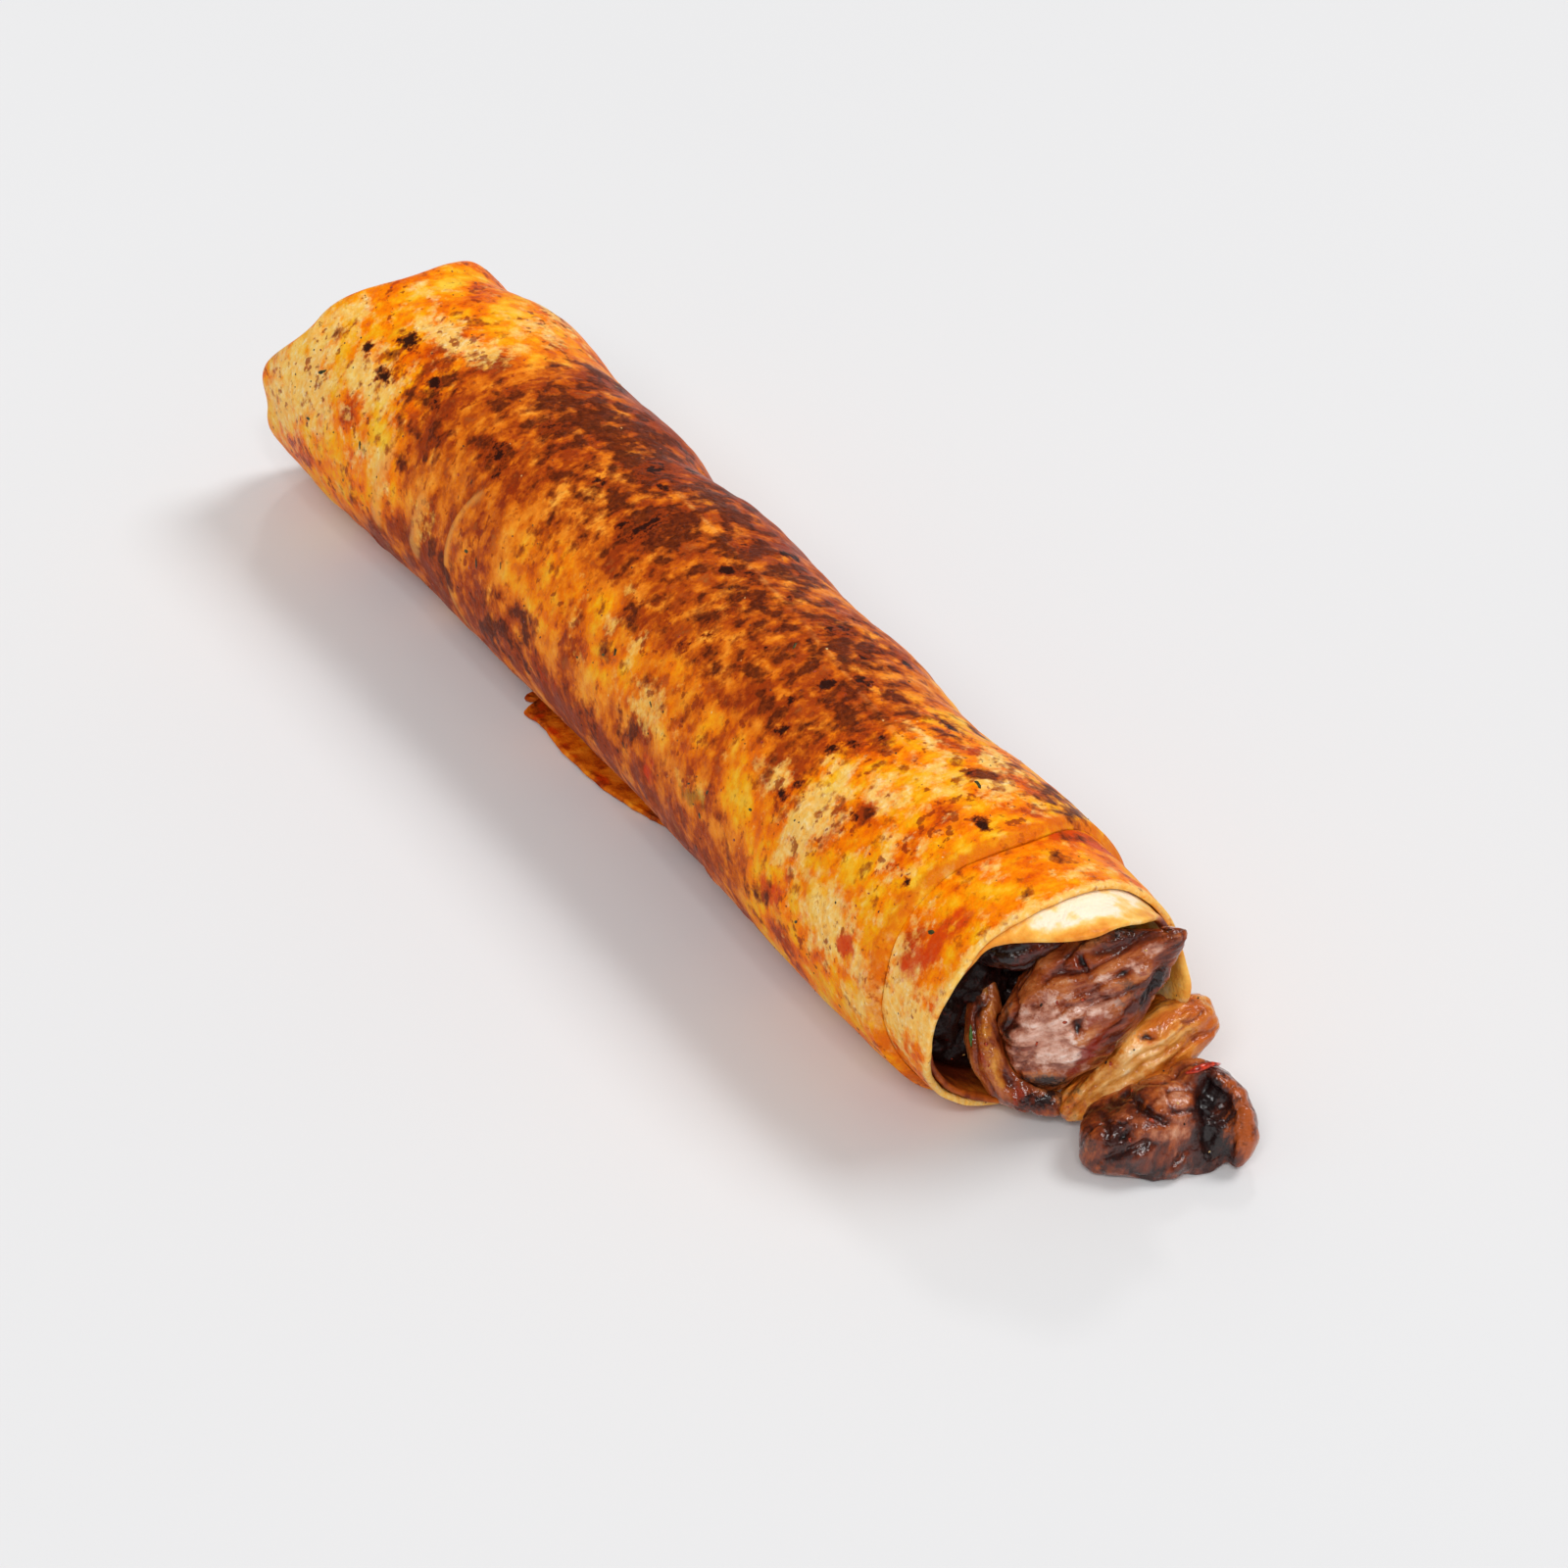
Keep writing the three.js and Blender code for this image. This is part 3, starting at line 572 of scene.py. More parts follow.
def open_rings(radius_at, rim, show_from, step, seed):
    """Rings of an open turn: along the outside to the rim, over its edge, and back inside."""
    edge = rim + 0.45 * layered(ring_grid(rim, turns), 7.0, seed, 3)
    rings = []
    for along in (np.full(AROUND, TUCKED_AT), seam_at(turns) - TIGHT_LENGTH, show_from):
        rings.append((along, radius_at(along, turns), 0.0))
    count = int(np.max(edge - show_from) / step)
    for share in np.arange(1, count + 1) / count:
        along = show_from + (edge - 0.7 - show_from) * share
        rings.append((along, radius_at(along, turns), 0.9))
    for back, down in RIM_EDGE:
        rings.append((edge - back, radius_at(edge, turns) - down, 0.9))
    for share in np.linspace(0, 1, 14) ** 1.3:  # closer together near the rim
        along = edge - 1.0 + (show_from - 4 - edge) * share
        rings.append((along, radius_at(along, turns) - SHEET, 0.9 * (1 - share)))
    along = np.full(AROUND, TUCKED_AT)
    rings.append((along, radius_at(along, turns) - SHEET, 0.0))
    outside = 3 + count + 3  # the first three rings, the free length and half of the edge
    return rings, outside


def gentle_relief(along, turn):
    """Relief of the turns at the mouth: their free rims wave more than what is held inside."""
    grid = ring_grid(along, turn)
    waves = 0.28 + 0.45 * eased(along, 296, 318)
    slow = waves * layered(grid, 12.0, 23, 3)
    grains = 0.08 * layered(grid, 3.0, 27, 3)
    return slow + grains + 0.5 * blisters(along, turn)


# %% [markdown]
# The middle turn shows as a band behind the mouth. Sauce ran along it in a long red streak, its lower
# end stayed cream, and its rim is pale, because little oil stays on an edge.

# %% The middle turn
MIDDLE_TOASTED = [(296, 8, 3, 2.4, 0.5), (302, -12, 3, 2, 0.5), (289, -26, 2, 1.8, 0.5),
                  (289, 30, 2.4, 7, 0.55)]
MIDDLE_PALE = [(294, -14, 4, 3, 0.5), (291, -62, 6, 5, 0.6), (292, -76, 6, 6, 0.8), (290, -88, 8, 9, 0.9),
               (300, -82, 6, 7, 0.9), (304, 12, 3, 9, 0.4), (296, 30, 3, 4, 0.3)]
MIDDLE_RED = [(297, -49, 2.8, 8, 1.05), (293, -62, 2.6, 6, 0.75), (284, -72, 5, 3, 0.7),
              (300, -38, 2, 4, 0.7), (290, 27, 3.2, 8, 1.35), (290, 38, 2.8, 6, 1.3),
              (296, -5, 2, 3, 0.5), (291, -30, 2, 2, 0.6)]

rings, outside = open_rings(middle_radius, middle_rim_at(turns), seam_at(turns) - 2.5, 0.8, 51)
middle, along, turn = sheet_piece(
    "oiled_bread", rings, MIDDLE_FLOOR, MIDDLE_FLOOR + SHEET, outside, gentle_relief)
pale_rim = 0.8 * bell(middle_rim_at(turn) - along, 1.4)
add_mark(middle, "toasted", marked(MIDDLE_TOASTED, along, turn, 1.2, 53))
add_mark(middle, "pale", np.maximum(marked(MIDDLE_PALE, along, turn, 1.8, 55), pale_rim))
add_mark(middle, "red", marked(MIDDLE_RED, along, turn, 1.4, 57))
add_mark(middle, "stained", bell(along - seam_at(turn), 1.0))
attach(middle, "root")
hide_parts("lavash_middle")

# %% [markdown]
# The innermost turn is the palest, and its top is painted whiter, partly as a painted highlight. Its
# rim is drawn back beside the tip of the largest cut, which has stained it there, and juice has run
# down into its low side; that stain grows darker deeper in the mouth as painted shade.

# %% The innermost turn
SLICE_TIP_TURN = 54
inner_rim = inner_rim_at(turns) - 6 * bell(turn_between(turns, SLICE_TIP_TURN), 14)
rings, outside = open_rings(inner_radius, inner_rim, seam_at(turns), 0.8, 61)
inner, along, turn = sheet_piece(
    "pale_bread", rings, INNER_FLOOR, INNER_FLOOR + SHEET, outside, gentle_relief)
from_rim = inner_rim[None, :] - along
# juice stain on the low side, with painted shade that darkens it deeper in the mouth
juicy_side = bell(turn_between(turn, -125), 42) * (1 + 0.5 * eased(from_rim, 3, 9))
by_slice = 1.3 * bell(turn_between(turn, SLICE_TIP_TURN + 2), 9) * eased(-from_rim, -5, -1)
oily_rim = 0.25 * bell(from_rim, 3.0) * eased(-turn, -30, 5)
add_mark(inner, "stained", juicy_side + by_slice + oily_rim)
# the pale top is partly the floury bread and partly a painted highlight
add_mark(inner, "pale", bell(turn_between(turn, 13), 20) * eased(from_rim, 1, 5))
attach(inner, "root")
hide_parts("lavash_inner")

# %% [markdown]
# ## The loose edge on the table
# Part of the outer sheet isn't rolled in: its edge lies out on the table along the -Y side. It is a
# strip with an uneven border, a small tear, and a slight curl, thick as the sheet.

# %% The loose edge
FLAP_FROM, FLAP_TO, FLAP_REACH, FLAP_ROOT = 112.0, 202.0, -24.3, -14.0
FLAP_STEP, FLAP_LEAST = 0.6, 0.7  # mm between its columns of points, and its thinnest place
FLAP_BURNS = [(119, -20.5, 3, 2), (123, -22, 3, 2), (130, -22.5, 5, 1.6), (138, -23, 4, 1.5),
              (150, -22, 5, 1.2)]  # along, across, half length, half width


def flap_border(along):
    """How far out, across the roll, the border of the loose edge lies."""
    share = (along - FLAP_FROM) / (FLAP_TO - FLAP_FROM)
    border = FLAP_REACH + 3 - 4.2 * np.sin(np.pi * np.clip(share * 1.35, 0, 1)) + 6.5 * share**1.6
    tear = 3.6 * bell(along - 116.5, 0.9) - 1.6 * bell(along - 119.5, 2.0)
    near_end = 10 * (1 - eased(along, FLAP_FROM - 0.5, FLAP_FROM + 2.2))
    far_end = 8 * eased(along, FLAP_TO - 6, FLAP_TO + 1)
    nibbled = 0.5 * layered(np.stack([along, 0 * along, 0 * along], -1), 5.0, 71, 3)
    return border + tear + (near_end + far_end) + nibbled


def slab_faces(rows, columns):
    """Faces of a grid with two sides: the upper one, the same below it, and a wall round both."""
    under = rows * columns
    place = np.arange(under).reshape(rows, columns)
    top = np.stack([place[:-1, :-1], place[:-1, 1:], place[1:, 1:], place[1:, :-1]], -1).reshape(-1, 4)
    rim = np.concatenate([place[0, :-1], place[:-1, -1], place[-1, :0:-1], place[:0:-1, 0]])
    after = np.roll(rim, -1)
    wall = np.stack([after, rim, under + rim, under + after], -1)
    return np.concatenate([top, top[:, ::-1] + under, wall]).tolist()


def flap_piece():
    """The strip of bread, with its marks."""
    alongs = np.arange(FLAP_FROM, FLAP_TO, FLAP_STEP)
    s, share = np.meshgrid(alongs, np.linspace(0, 1, 34), indexing="ij")
    y = FLAP_ROOT + (flap_border(s) - FLAP_ROOT) * share
    grid = np.stack([s, y, 0 * s], -1)
    curl = 1.3 * share**4 * (0.6 + 0.4 * uneven(grid, 14.0, 73)) + 0.12 * layered(grid, 3.0, 75)
    top = np.maximum(FLAP_LEAST, SHEET + curl * eased(share, 0.2, 1))
    thin = 0.75 * eased(share, 0.93, 1.0)
    sides = [np.stack([s - ORIGIN_ALONG, y - ORIGIN_ACROSS, z], -1).reshape(-1, 3)
             for z in (top - thin, np.maximum(0.0, top - SHEET + thin))]
    flap = mesh_piece("loose_edge", np.concatenate(sides) * MM, slab_faces(*s.shape))
    burnt = 0.95 * np.max([soft_oval((s - a) / long, (y - b) / wide, steepness=1)
                           for a, b, long, wide in FLAP_BURNS], axis=0)
    for mark, strength in (("toasted", 0.55 * burnt), ("red", 0.7 * burnt), ("soaked", 0.9), ("deep", 0.5)):
        add_mark(flap, mark, np.broadcast_to(strength, (2, *s.shape)))
    return flap


flap = flap_piece()
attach(flap, "root")

# %% [markdown]
# ## The meat
# Each cut starts as a fine copy of its solid. Small cubes of space are turned into an even mesh, its
# facets are rubbed smooth, and then the surface is carved: muscle fibres run one way, so their relief
# is unevenness drawn out along that way, and the sear gives knobs and pits.

# %% Fine copies
def fine_copy(node, name, cell, rubs):
    """A finely meshed copy of a solid with its facets rubbed smooth."""
    piece = bpy.data.objects.new(name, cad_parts[node].data.copy())
    bpy.context.scene.collection.objects.link(piece)
    remesh = piece.modifiers.new("fine", "REMESH")
    remesh.mode = "VOXEL"
    remesh.voxel_size = cell * MM
    rub = piece.modifiers.new("rubbed", "SMOOTH")
    rub.factor, rub.iterations = 0.5, rubs
    graph = bpy.context.evaluated_depsgraph_get()
    piece.data = bpy.data.meshes.new_from_object(piece.evaluated_get(graph))
    piece.modifiers.clear()
    piece.data.materials.clear()
    piece.data.shade_smooth()
    print(f"{name}: {len(piece.data.polygons)} faces")
    return piece


def points_of(piece):
    """Points in mm and outward directions of a piece."""
    count = len(piece.data.vertices)
    points, normals = np.empty(count * 3), np.empty(count * 3)
    piece.data.vertices.foreach_get("co", points)
    piece.data.vertices.foreach_get("normal", normals)
    return points.reshape(-1, 3) / MM, normals.reshape(-1, 3)


def move_points(piece, points):
    """Puts a piece's points at new places in mm."""
    piece.data.vertices.foreach_set("co", (points * MM).ravel())
    piece.data.update()


def drawn_out(points, way, stretch):
    """Places stretched along one way, for fibres."""
    way = np.asarray(way, float) / np.linalg.norm(way)
    length = points @ way
    return points - np.outer(length * (1 - 1 / stretch), way)


def ridges(points, size, seed):
    """Rounded lumps with sharp valleys between them, from 0 in a valley to about 1 on a lump."""
    return np.abs(layered(points, size, seed, 3))


# %% [markdown]
# To place hollows and marks on the cuts we need a second measure: the face of the mouth, as someone
# sees it who looks down into the open end. Each place is then mm to the right and mm up from the
# middle of its cut.

# %% The face of the mouth
RIGHT = np.array([0.510, 0.860, 0.0])
UP = np.array([-0.501, 0.297, 0.813])
TOWARDS = np.cross(RIGHT, UP)


def on_face(points, node):
    """How far right of and above the middle of its solid each point lies."""
    low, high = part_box(node)
    off = points - np.array((low + high) / 2) / MM
    return off @ RIGHT, off @ UP


def spots(right, up, places):
    """One mask from soft ovals: right, up, half length, half width, tilt in degrees, strength."""
    mask = np.zeros(len(right))
    for a, b, long, wide, tilt, strength in places:
        c, s = np.cos(np.radians(tilt)), np.sin(np.radians(tilt))
        x, y = right - a, up - b
        mask = np.maximum(mask, strength * soft_oval((c * x + s * y) / long, (c * y - s * x) / wide))
    return mask


# %% [markdown]
# Five cuts, each with its own list: the size of the cubes in mm, the way its fibres run, how high
# its lumps and fibres stand, then hollows pressed into it, its pale places (cut faces, partly a
# painted sheen), its dark places (seared places, and painted shade in hollows, folds and gaps) and
# places with red juice. Each place is an oval: mm to the right and up, half length and half width,
# tilt in degrees, and last how strong it is, or how deep in mm if it is a hollow.

# %% A place for the cuts
CUTS = {}

# %% [markdown]
# The largest cut is a thick slice that reaches out of the mouth. A knife went through it, so its face
# is pale grey-pink flesh with a few small holes, lightened towards white by a painted sheen, and its
# rim kept the dark sear. Its holes and the gaps at its edges are painted dark as painted shade.

# %% The largest cut
CUTS["big_slice"] = dict(
    node="meat_large", slot="grilled_meat", cell=0.45, way=(0.45, 0.80, 0.40), lumps=0.45, fibres=0.40,
    hollows=[(-0.9, 8.9, 0.6, 1.8, 10, 1.6), (6.9, 6, 1.8, 1.4, 0, 1), (-2.1, -5.4, 0.9, 1.1, 0, 0.9),
             (-14.7, -5, 1.8, 1, -20, 0.8), (2.4, 0, 1.8, 0.8, 20, 0.8), (14, 4, 1.6, 5, -30, 2.2),
             (1, 3, 6, 0.7, 28, 0.9), (4, 12, 9, 0.8, 12, 0.8), (-6, 5.5, 5, 0.7, 20, 0.6),
             (-4, -1.5, 4.5, 0.6, 25, 0.5), (7, -2.5, 0.8, 6, -35, 0.9)],
    # pale places: grey-pink cut flesh, partly a painted sheen
    pale=[(-9.4, -7.4, 8, 6.5, 30, 1), (-4, -11, 5, 3.5, 10, 0.8), (1.5, -1, 4, 2.4, 20, 0.75),
          (-9, 0, 5, 2.2, 25, 0.6), (9.3, 7.6, 1.8, 1.4, 0, 0.8), (13, 11, 2.5, 1.3, 20, 0.6),
          (3, 5, 3, 1, 30, 0.5), (-8.5, -4, 3.5, 2, 35, 1.1)],
    # dark places: the sear, and painted shade in the holes and gaps
    dark=[(5, 15, 14, 2.2, 10, 0.75), (-17, -4, 1.6, 8, 0, 0.8), (-8, -17, 9, 1.8, -8, 1),
          (-0.9, 8.9, 0.5, 1.6, 10, 1.2), (6.9, 6, 1.3, 1.1, 0, 0.9), (-2.1, -5.4, 0.7, 0.9, 0, 1.1),
          (-14.7, -5, 1.5, 0.8, -20, 0.8), (14.5, 3.5, 1.8, 5, -30, 1.2), (17, 14, 3, 3, 0, 0.6),
          (8, 2.5, 2, 3, -30, 0.6)],
    red=[(0.4, -10, 8.5, 1.4, 57, 1), (2.5, -2.5, 3, 1.2, 40, 0.7), (-3, 9, 6, 2, 10, 0.5),
         (11, 7, 2, 2, 0, 0.5)])

# %% [markdown]
# Under it, on the +Y side, lies a fatty cut. A band of soft yellow fat runs along it between long
# folds, and its upper edge is red-brown with juice. A pale place at its upper right is a painted
# highlight, and its pit and dark lines at its top are partly painted shade.

# %% The fatty cut
CUTS["fatty_cut"] = dict(
    node="meat_fatty", slot="fatty_meat", cell=0.45, way=(0.10, 0.85, 0.50), lumps=0.45, fibres=0.40,
    hollows=[(-1, -3.5, 14, 0.7, 34, 0.7), (3, 1.5, 10, 0.6, 32, 0.6), (12, 4, 5, 0.8, 20, 0.8),
             (2, 4.5, 1.2, 1, 0, 1), (-8, -6, 5, 0.6, 45, 0.6)],
    # pale places: yellow fat, and a painted highlight at the upper right
    pale=[(-1.7, -2.4, 15, 3.4, 34, 1), (8, 3.5, 6, 2, 28, 0.9), (14, 12.5, 3.5, 0.9, -45, 0.8),
          (-10, -8.5, 4.5, 2.6, 30, 0.8)],
    # dark places: sear, and painted shade in its pit and along its top
    dark=[(2, 4.5, 1.2, 0.9, 0, 0.9), (7, 12.5, 3, 1.8, 30, 0.6), (-4, -9, 3, 1.4, 30, 0.4),
          (-13, -8, 1.6, 3, 0, 0.6), (9, 14, 5, 1, -35, 0.5)],
    red=[(9.5, 12.5, 6, 3.2, -45, 1), (14.7, 6, 2.4, 5, 0, 0.9), (6, 8.5, 5, 1.6, 30, 0.8),
         (-13, -9.5, 3, 2, 0, 0.6)])

# %% [markdown]
# On the -Y side a narrow strip hangs down and curls in under the slice. It is glazed with its own
# juice. It is golden along its crest, partly glaze and partly a painted highlight, and painted nearly
# black as painted shade where it is folded under and in its grooves.

# %% The glazed strip
CUTS["glazed_strip"] = dict(
    node="meat_side", slot="glazed_meat", cell=0.40, way=(0.40, 0.10, -0.90), lumps=0.40, fibres=0.35,
    hollows=[(2.5, 3, 0.9, 7, 12, 1.2), (-2, 6, 1, 3, 10, 0.6), (0, -6, 1.2, 3.5, 30, 0.8)],
    # pale places: golden glaze along the crest, partly a painted highlight
    pale=[(-5, 5, 1.6, 6, 0, 0.9), (-2.5, -3, 1.4, 5, 18, 1), (0.5, -9, 1.5, 3, 30, 0.6)],
    # dark places: painted shade where the strip folds under and in its grooves
    dark=[(6, -11, 5, 2.4, -10, 1), (3, 5, 1, 8, 12, 0.9), (-7, 8, 1.4, 4, 0, 0.7)],
    red=[(2, -10, 3.5, 3, 0, 0.8), (-6, 0, 1, 5, 10, 0.6)])

# %% [markdown]
# Behind them a dark cut fills the back of the mouth. It lies in shade, and its maroon colour is
# painted near black as painted shade, so a few marks are enough.

# %% The dark cut
CUTS["dark_cut"] = dict(
    node="meat_inside", slot="dark_meat", cell=0.50, way=(0.30, 0.90, 0.20), lumps=0.50, fibres=0.40,
    hollows=[(-5, -2, 4, 1, 40, 0.8)],
    pale=[],
    dark=[(-6, -4, 6, 4, 30, 1), (4, -6, 5, 2, 0, 1)],
    red=[(2, 2, 6, 2, 20, 0.6)])

# %% [markdown]
# One cut has dropped out and stands on the table. Hollows run down its face, painted black as painted
# shade over its sear, and the knobs between them are brown, with painted highlights on top.

# %% The fallen cut
CUTS["fallen_cut"] = dict(
    node="meat_front", slot="seared_meat", cell=0.45, way=(0.20, 0.20, 0.95), lumps=0.50, fibres=0.22,
    hollows=[(7.4, 6.5, 1.2, 3, 0, 1.8), (8.8, 1.5, 2.4, 4.2, -10, 3), (9.6, -5.5, 3.2, 5.4, 0, 3.2),
             (-9.7, -3.6, 1.4, 1.6, 0, 1.7), (-5.6, 3.2, 4, 0.9, -38, 1.5),
             (-1, 0.4, 3.4, 0.7, -20, 1.2), (-6.5, -6.2, 5, 0.7, 12, 0.9),
             (-13.5, -1.5, 0.8, 3.6, 12, 0.9), (3.2, 2.2, 3, 0.5, 8, 0.7),
             (-12, -7, 3.5, 0.7, 30, 0.7), (2, -7.5, 3.6, 0.7, 35, 0.7), (-8.6, 5.6, 2.6, 0.8, 50, 1),
             (14.5, 2, 0.5, 6, 14, 0.5)],
    # pale places: painted highlights and sheen on the knobs
    pale=[(1.2, 4.6, 3, 2.6, 20, 0.9), (2.6, -1, 2.6, 2.8, 0, 1), (-2.4, -3.2, 3.4, 1.5, 15, 0.9),
          (-7.5, -0.5, 2.6, 1.4, -10, 0.8), (-6.6, -3, 1.8, 2, 0, 0.6), (-11, 0.5, 2, 1.4, 30, 0.6),
          (15.6, -1.5, 1.4, 6, 4, 0.9), (13, 7, 2.8, 1.3, -30, 0.6), (4, -7, 2.4, 3, 0, 0.5)],
    # dark places: painted shade in the hollows and the valley, with some char
    dark=[(8.4, 3.5, 2.2, 6, -6, 1.3), (9.8, -5, 4, 6.4, 0, 1.1), (-9.7, -3.6, 0.9, 1.1, 0, 1.1),
          (-5.6, 3.2, 3.6, 0.8, -38, 0.6), (-16.5, -4, 1.8, 7, 12, 0.6),
          (-8.6, 5.6, 3.4, 1.4, 50, 0.5), (-2, 7.5, 9, 0.9, 30, 0.5), (-4, -11, 14, 1.8, 4, 0.6),
          (17.5, 3, 0.8, 6, 20, 0.4), (-12, -9, 6, 3, 20, 0.6)],
    red=[(15.8, 0, 2.6, 9, 6, 1.1), (13, 7.5, 3, 1.6, -30, 0.8), (-7, 4.2, 3, 1.4, -10, 0.5)])

# %% [markdown]
# Carving moves each point along its own outward direction by the sum of lumps, fibres, the thin lines
# between fibres and the hollows. The same numbers become masks, so colour and form agree: the relief
# mask paints crests lighter and valleys darker, as painted light and shade.

# %% Carving the cuts
TRIMMED_UP, TRIMMED_SHARE = 15.4, 0.85  # what rises higher than this above the middle is pressed down
RUBS = 6


def carve(piece, cut):
    """Moves a cut's points into lumps, fibres and hollows and writes its masks."""
    points, normals = points_of(piece)
    right, up = on_face(points, cut["node"])
    points = points - TRIMMED_SHARE * np.outer(np.maximum(0, up - TRIMMED_UP), UP)
    right = right + 0.9 * layered(points, 5.0, 141)
    up = up + 0.9 * layered(points, 5.0, 149)
    facing = eased(normals @ TOWARDS, -0.1, 0.5)
    along_fibres = drawn_out(points, cut["way"], 5)
    relief = cut["lumps"] * uneven(points, 7.0, 81) + cut["fibres"] * layered(along_fibres, 2.4, 83)
    relief -= 0.5 * bell(uneven(drawn_out(points, cut["way"], 3), 4.5, 85), 0.07)
    relief -= facing * sum(deep * spots(right, up, [(*oval, 1.0)]) for *oval, deep in cut["hollows"])
    # painted light and shade: crests of the relief lighten the colour and valleys darken it
    add_mark(piece, "painted_relief_light_and_shade", np.clip(0.5 + relief / 1.6, 0, 1))
    # dark places are partly sear and partly painted shade in hollows, folds and gaps; pale places are
    # partly a painted sheen
    for mark in ("pale", "dark", "red"):
        add_mark(piece, mark, facing * spots(right, up, cut[mark]))
    held_down = eased(points[:, 2], 0.1, 2.0)  # what lies on the table stays flat
    move_points(piece, points + normals * (relief * held_down)[:, None])


cuts = {}
for name, cut in CUTS.items():
    cuts[name] = fine_copy(cut["node"], name, cut["cell"], RUBS)
    carve(cuts[name], cut)
    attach(cuts[name], "root")
    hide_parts(cut["node"])

# %% [markdown]
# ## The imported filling
# Small bits of meat fill the roll behind the cuts. Only their face shows, deep in the mouth and in
# shade, so the rings are close together there alone, and ridged unevenness makes the bits stand out.

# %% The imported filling
FILLING_FACE, INNER_WALL = 292.0, SHEET + CLEARANCE


def filling_rings():
    """Along and radius of every ring: the hidden length, the rounded shoulder and the face."""
    tight = seam_at(turns) - TIGHT_LENGTH
    stations = [(TUCKED_AT + 2, 0.8), (TUCKED_AT + 8, 1), (tight, 1), (FILLING_FACE - 12, 1)]
    stations += [(FILLING_FACE - back, share) for back, share in ((4, 0.985), (2, 0.96), (0.8, 0.93))]
    stations += [(FILLING_FACE, share) for share in np.linspace(0.9, 0.03, 44)]
    for along, share in stations:
        along = np.broadcast_to(along, (AROUND,))
        yield along, share * (inner_radius(along, turns) - INNER_WALL)


def filling_piece():
    """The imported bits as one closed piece."""
    along, radius = (np.array(values) for values in zip(*filling_rings()))
    points = roll_points(along, turns, radius, INNER_FLOOR + INNER_WALL) / MM
    face = eased(along, FILLING_FACE - 3, FILLING_FACE)
    bits = ridges(points, 7.0, 131)
    points[..., 0] += face * (3.0 * np.sqrt(bits) - 2.4 + 0.4 * layered(points, 2.5, 133))
    poles = [roll_points(at, 0.0, 0.0).reshape(1, 3) for at in (TUCKED_AT + 2, FILLING_FACE - 1)]
    everything = np.concatenate([points.reshape(-1, 3) * MM, *poles])
    return mesh_piece("packed_meat", everything, skin_faces(len(along), AROUND, caps=True))


filling = filling_piece()
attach(filling, "root")
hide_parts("filling")

# %% [markdown]
# ## Finishes
# A finish is a small network of nodes. We write colours as they look on a screen and turn them to
# linear light in one place, and we add every node with one helper: give it a kind, its inputs as
# values or as another node's output, and its settings. Places come from the object's own
# coordinates in metres, so noise with lumps `size` mm across has a scale of 1000 / size.

# %% Colours and nodes
def colour(code):
    """A linear colour from a hex code."""
    level = np.array([int(code[i:i + 2], 16) for i in (1, 3, 5)]) / 255
    return (*np.where(level <= 0.04045, level / 12.92, ((level + 0.055) / 1.055) ** 2.4).tolist(), 1.0)


def node(tree, kind, inputs=None, stops=None, give=None, **settings):
    """Adds one node and returns its output named `give`, or its first one in use.

    inputs go by name or index, stops fill a ramp, and settings are the node's own.
    """
    new = tree.nodes.new("ShaderNode" + kind)
    for name, value in settings.items():
        setattr(new, name, value)
    for name, value in (inputs or {}).items():
        if isinstance(value, bpy.types.NodeSocket):
            tree.links.new(value, new.inputs[name])
        else:
            new.inputs[name].default_value = value
    for index, (place, code) in enumerate(stops or []):
        stop = new.color_ramp.elements[index] if index < 2 else new.color_ramp.elements.new(place)
        stop.position, stop.color = place, colour(code)
    return new.outputs[give] if give else next(output for output in new.outputs if output.enabled)


def finish(name, paint, **settings):
    """A material: paint adds its nodes and returns what they link to the shader."""
    material = bpy.data.materials.new(name)
    material.use_nodes = True
    tree = material.node_tree
    shader = tree.nodes["Principled BSDF"]
    for socket, value in settings.items():
        shader.inputs[socket.replace("_", " ")].default_value = value
    for socket, output in paint(partial(node, tree)).items():
        tree.links.new(output, shader.inputs[socket])
    print("finish:", name)
    return material


# %% [markdown]
# Two small steps come again and again. One scales a value and adds another. The other lays ragged
# patches of one colour on another: it cuts noise off at a level, and a mask moves that level.

# %% Scaling, and patches of one colour on another
def times_plus(add, value, weight, extra):
    """value times weight plus extra, in one node."""
    return add("Math", {0: value, 1: weight, 2: extra}, operation="MULTIPLY_ADD")


def laid_over(add, under, over, noise, mask, reach, low, high, top):
    """One layer: it starts where noise plus reach times mask passes low, and has share top at high."""
    value = times_plus(add, mask, reach, noise)
    share = add("MapRange", {"Value": value, "From Min": low, "From Max": high, "To Max": top})
    return add("Mix", {0: share, 6: under, 7: over}, data_type="RGBA")


# %% [markdown]
# ### Griddled lavash
# Lavash is a thin wheat flatbread, here rubbed with paprika oil and pressed on a griddle. The oil
# soaks in unevenly, so the plain bread runs from golden to deep orange, and a brown film covers the
# pressed length. On that lie dry cream places, sauce, toasted blots with a red-brown edge, and
# scorched bubbles. Each layer is noise cut off at a level, and the masks of the mesh move that
# level, so that the patches crowd where the listed marks are.

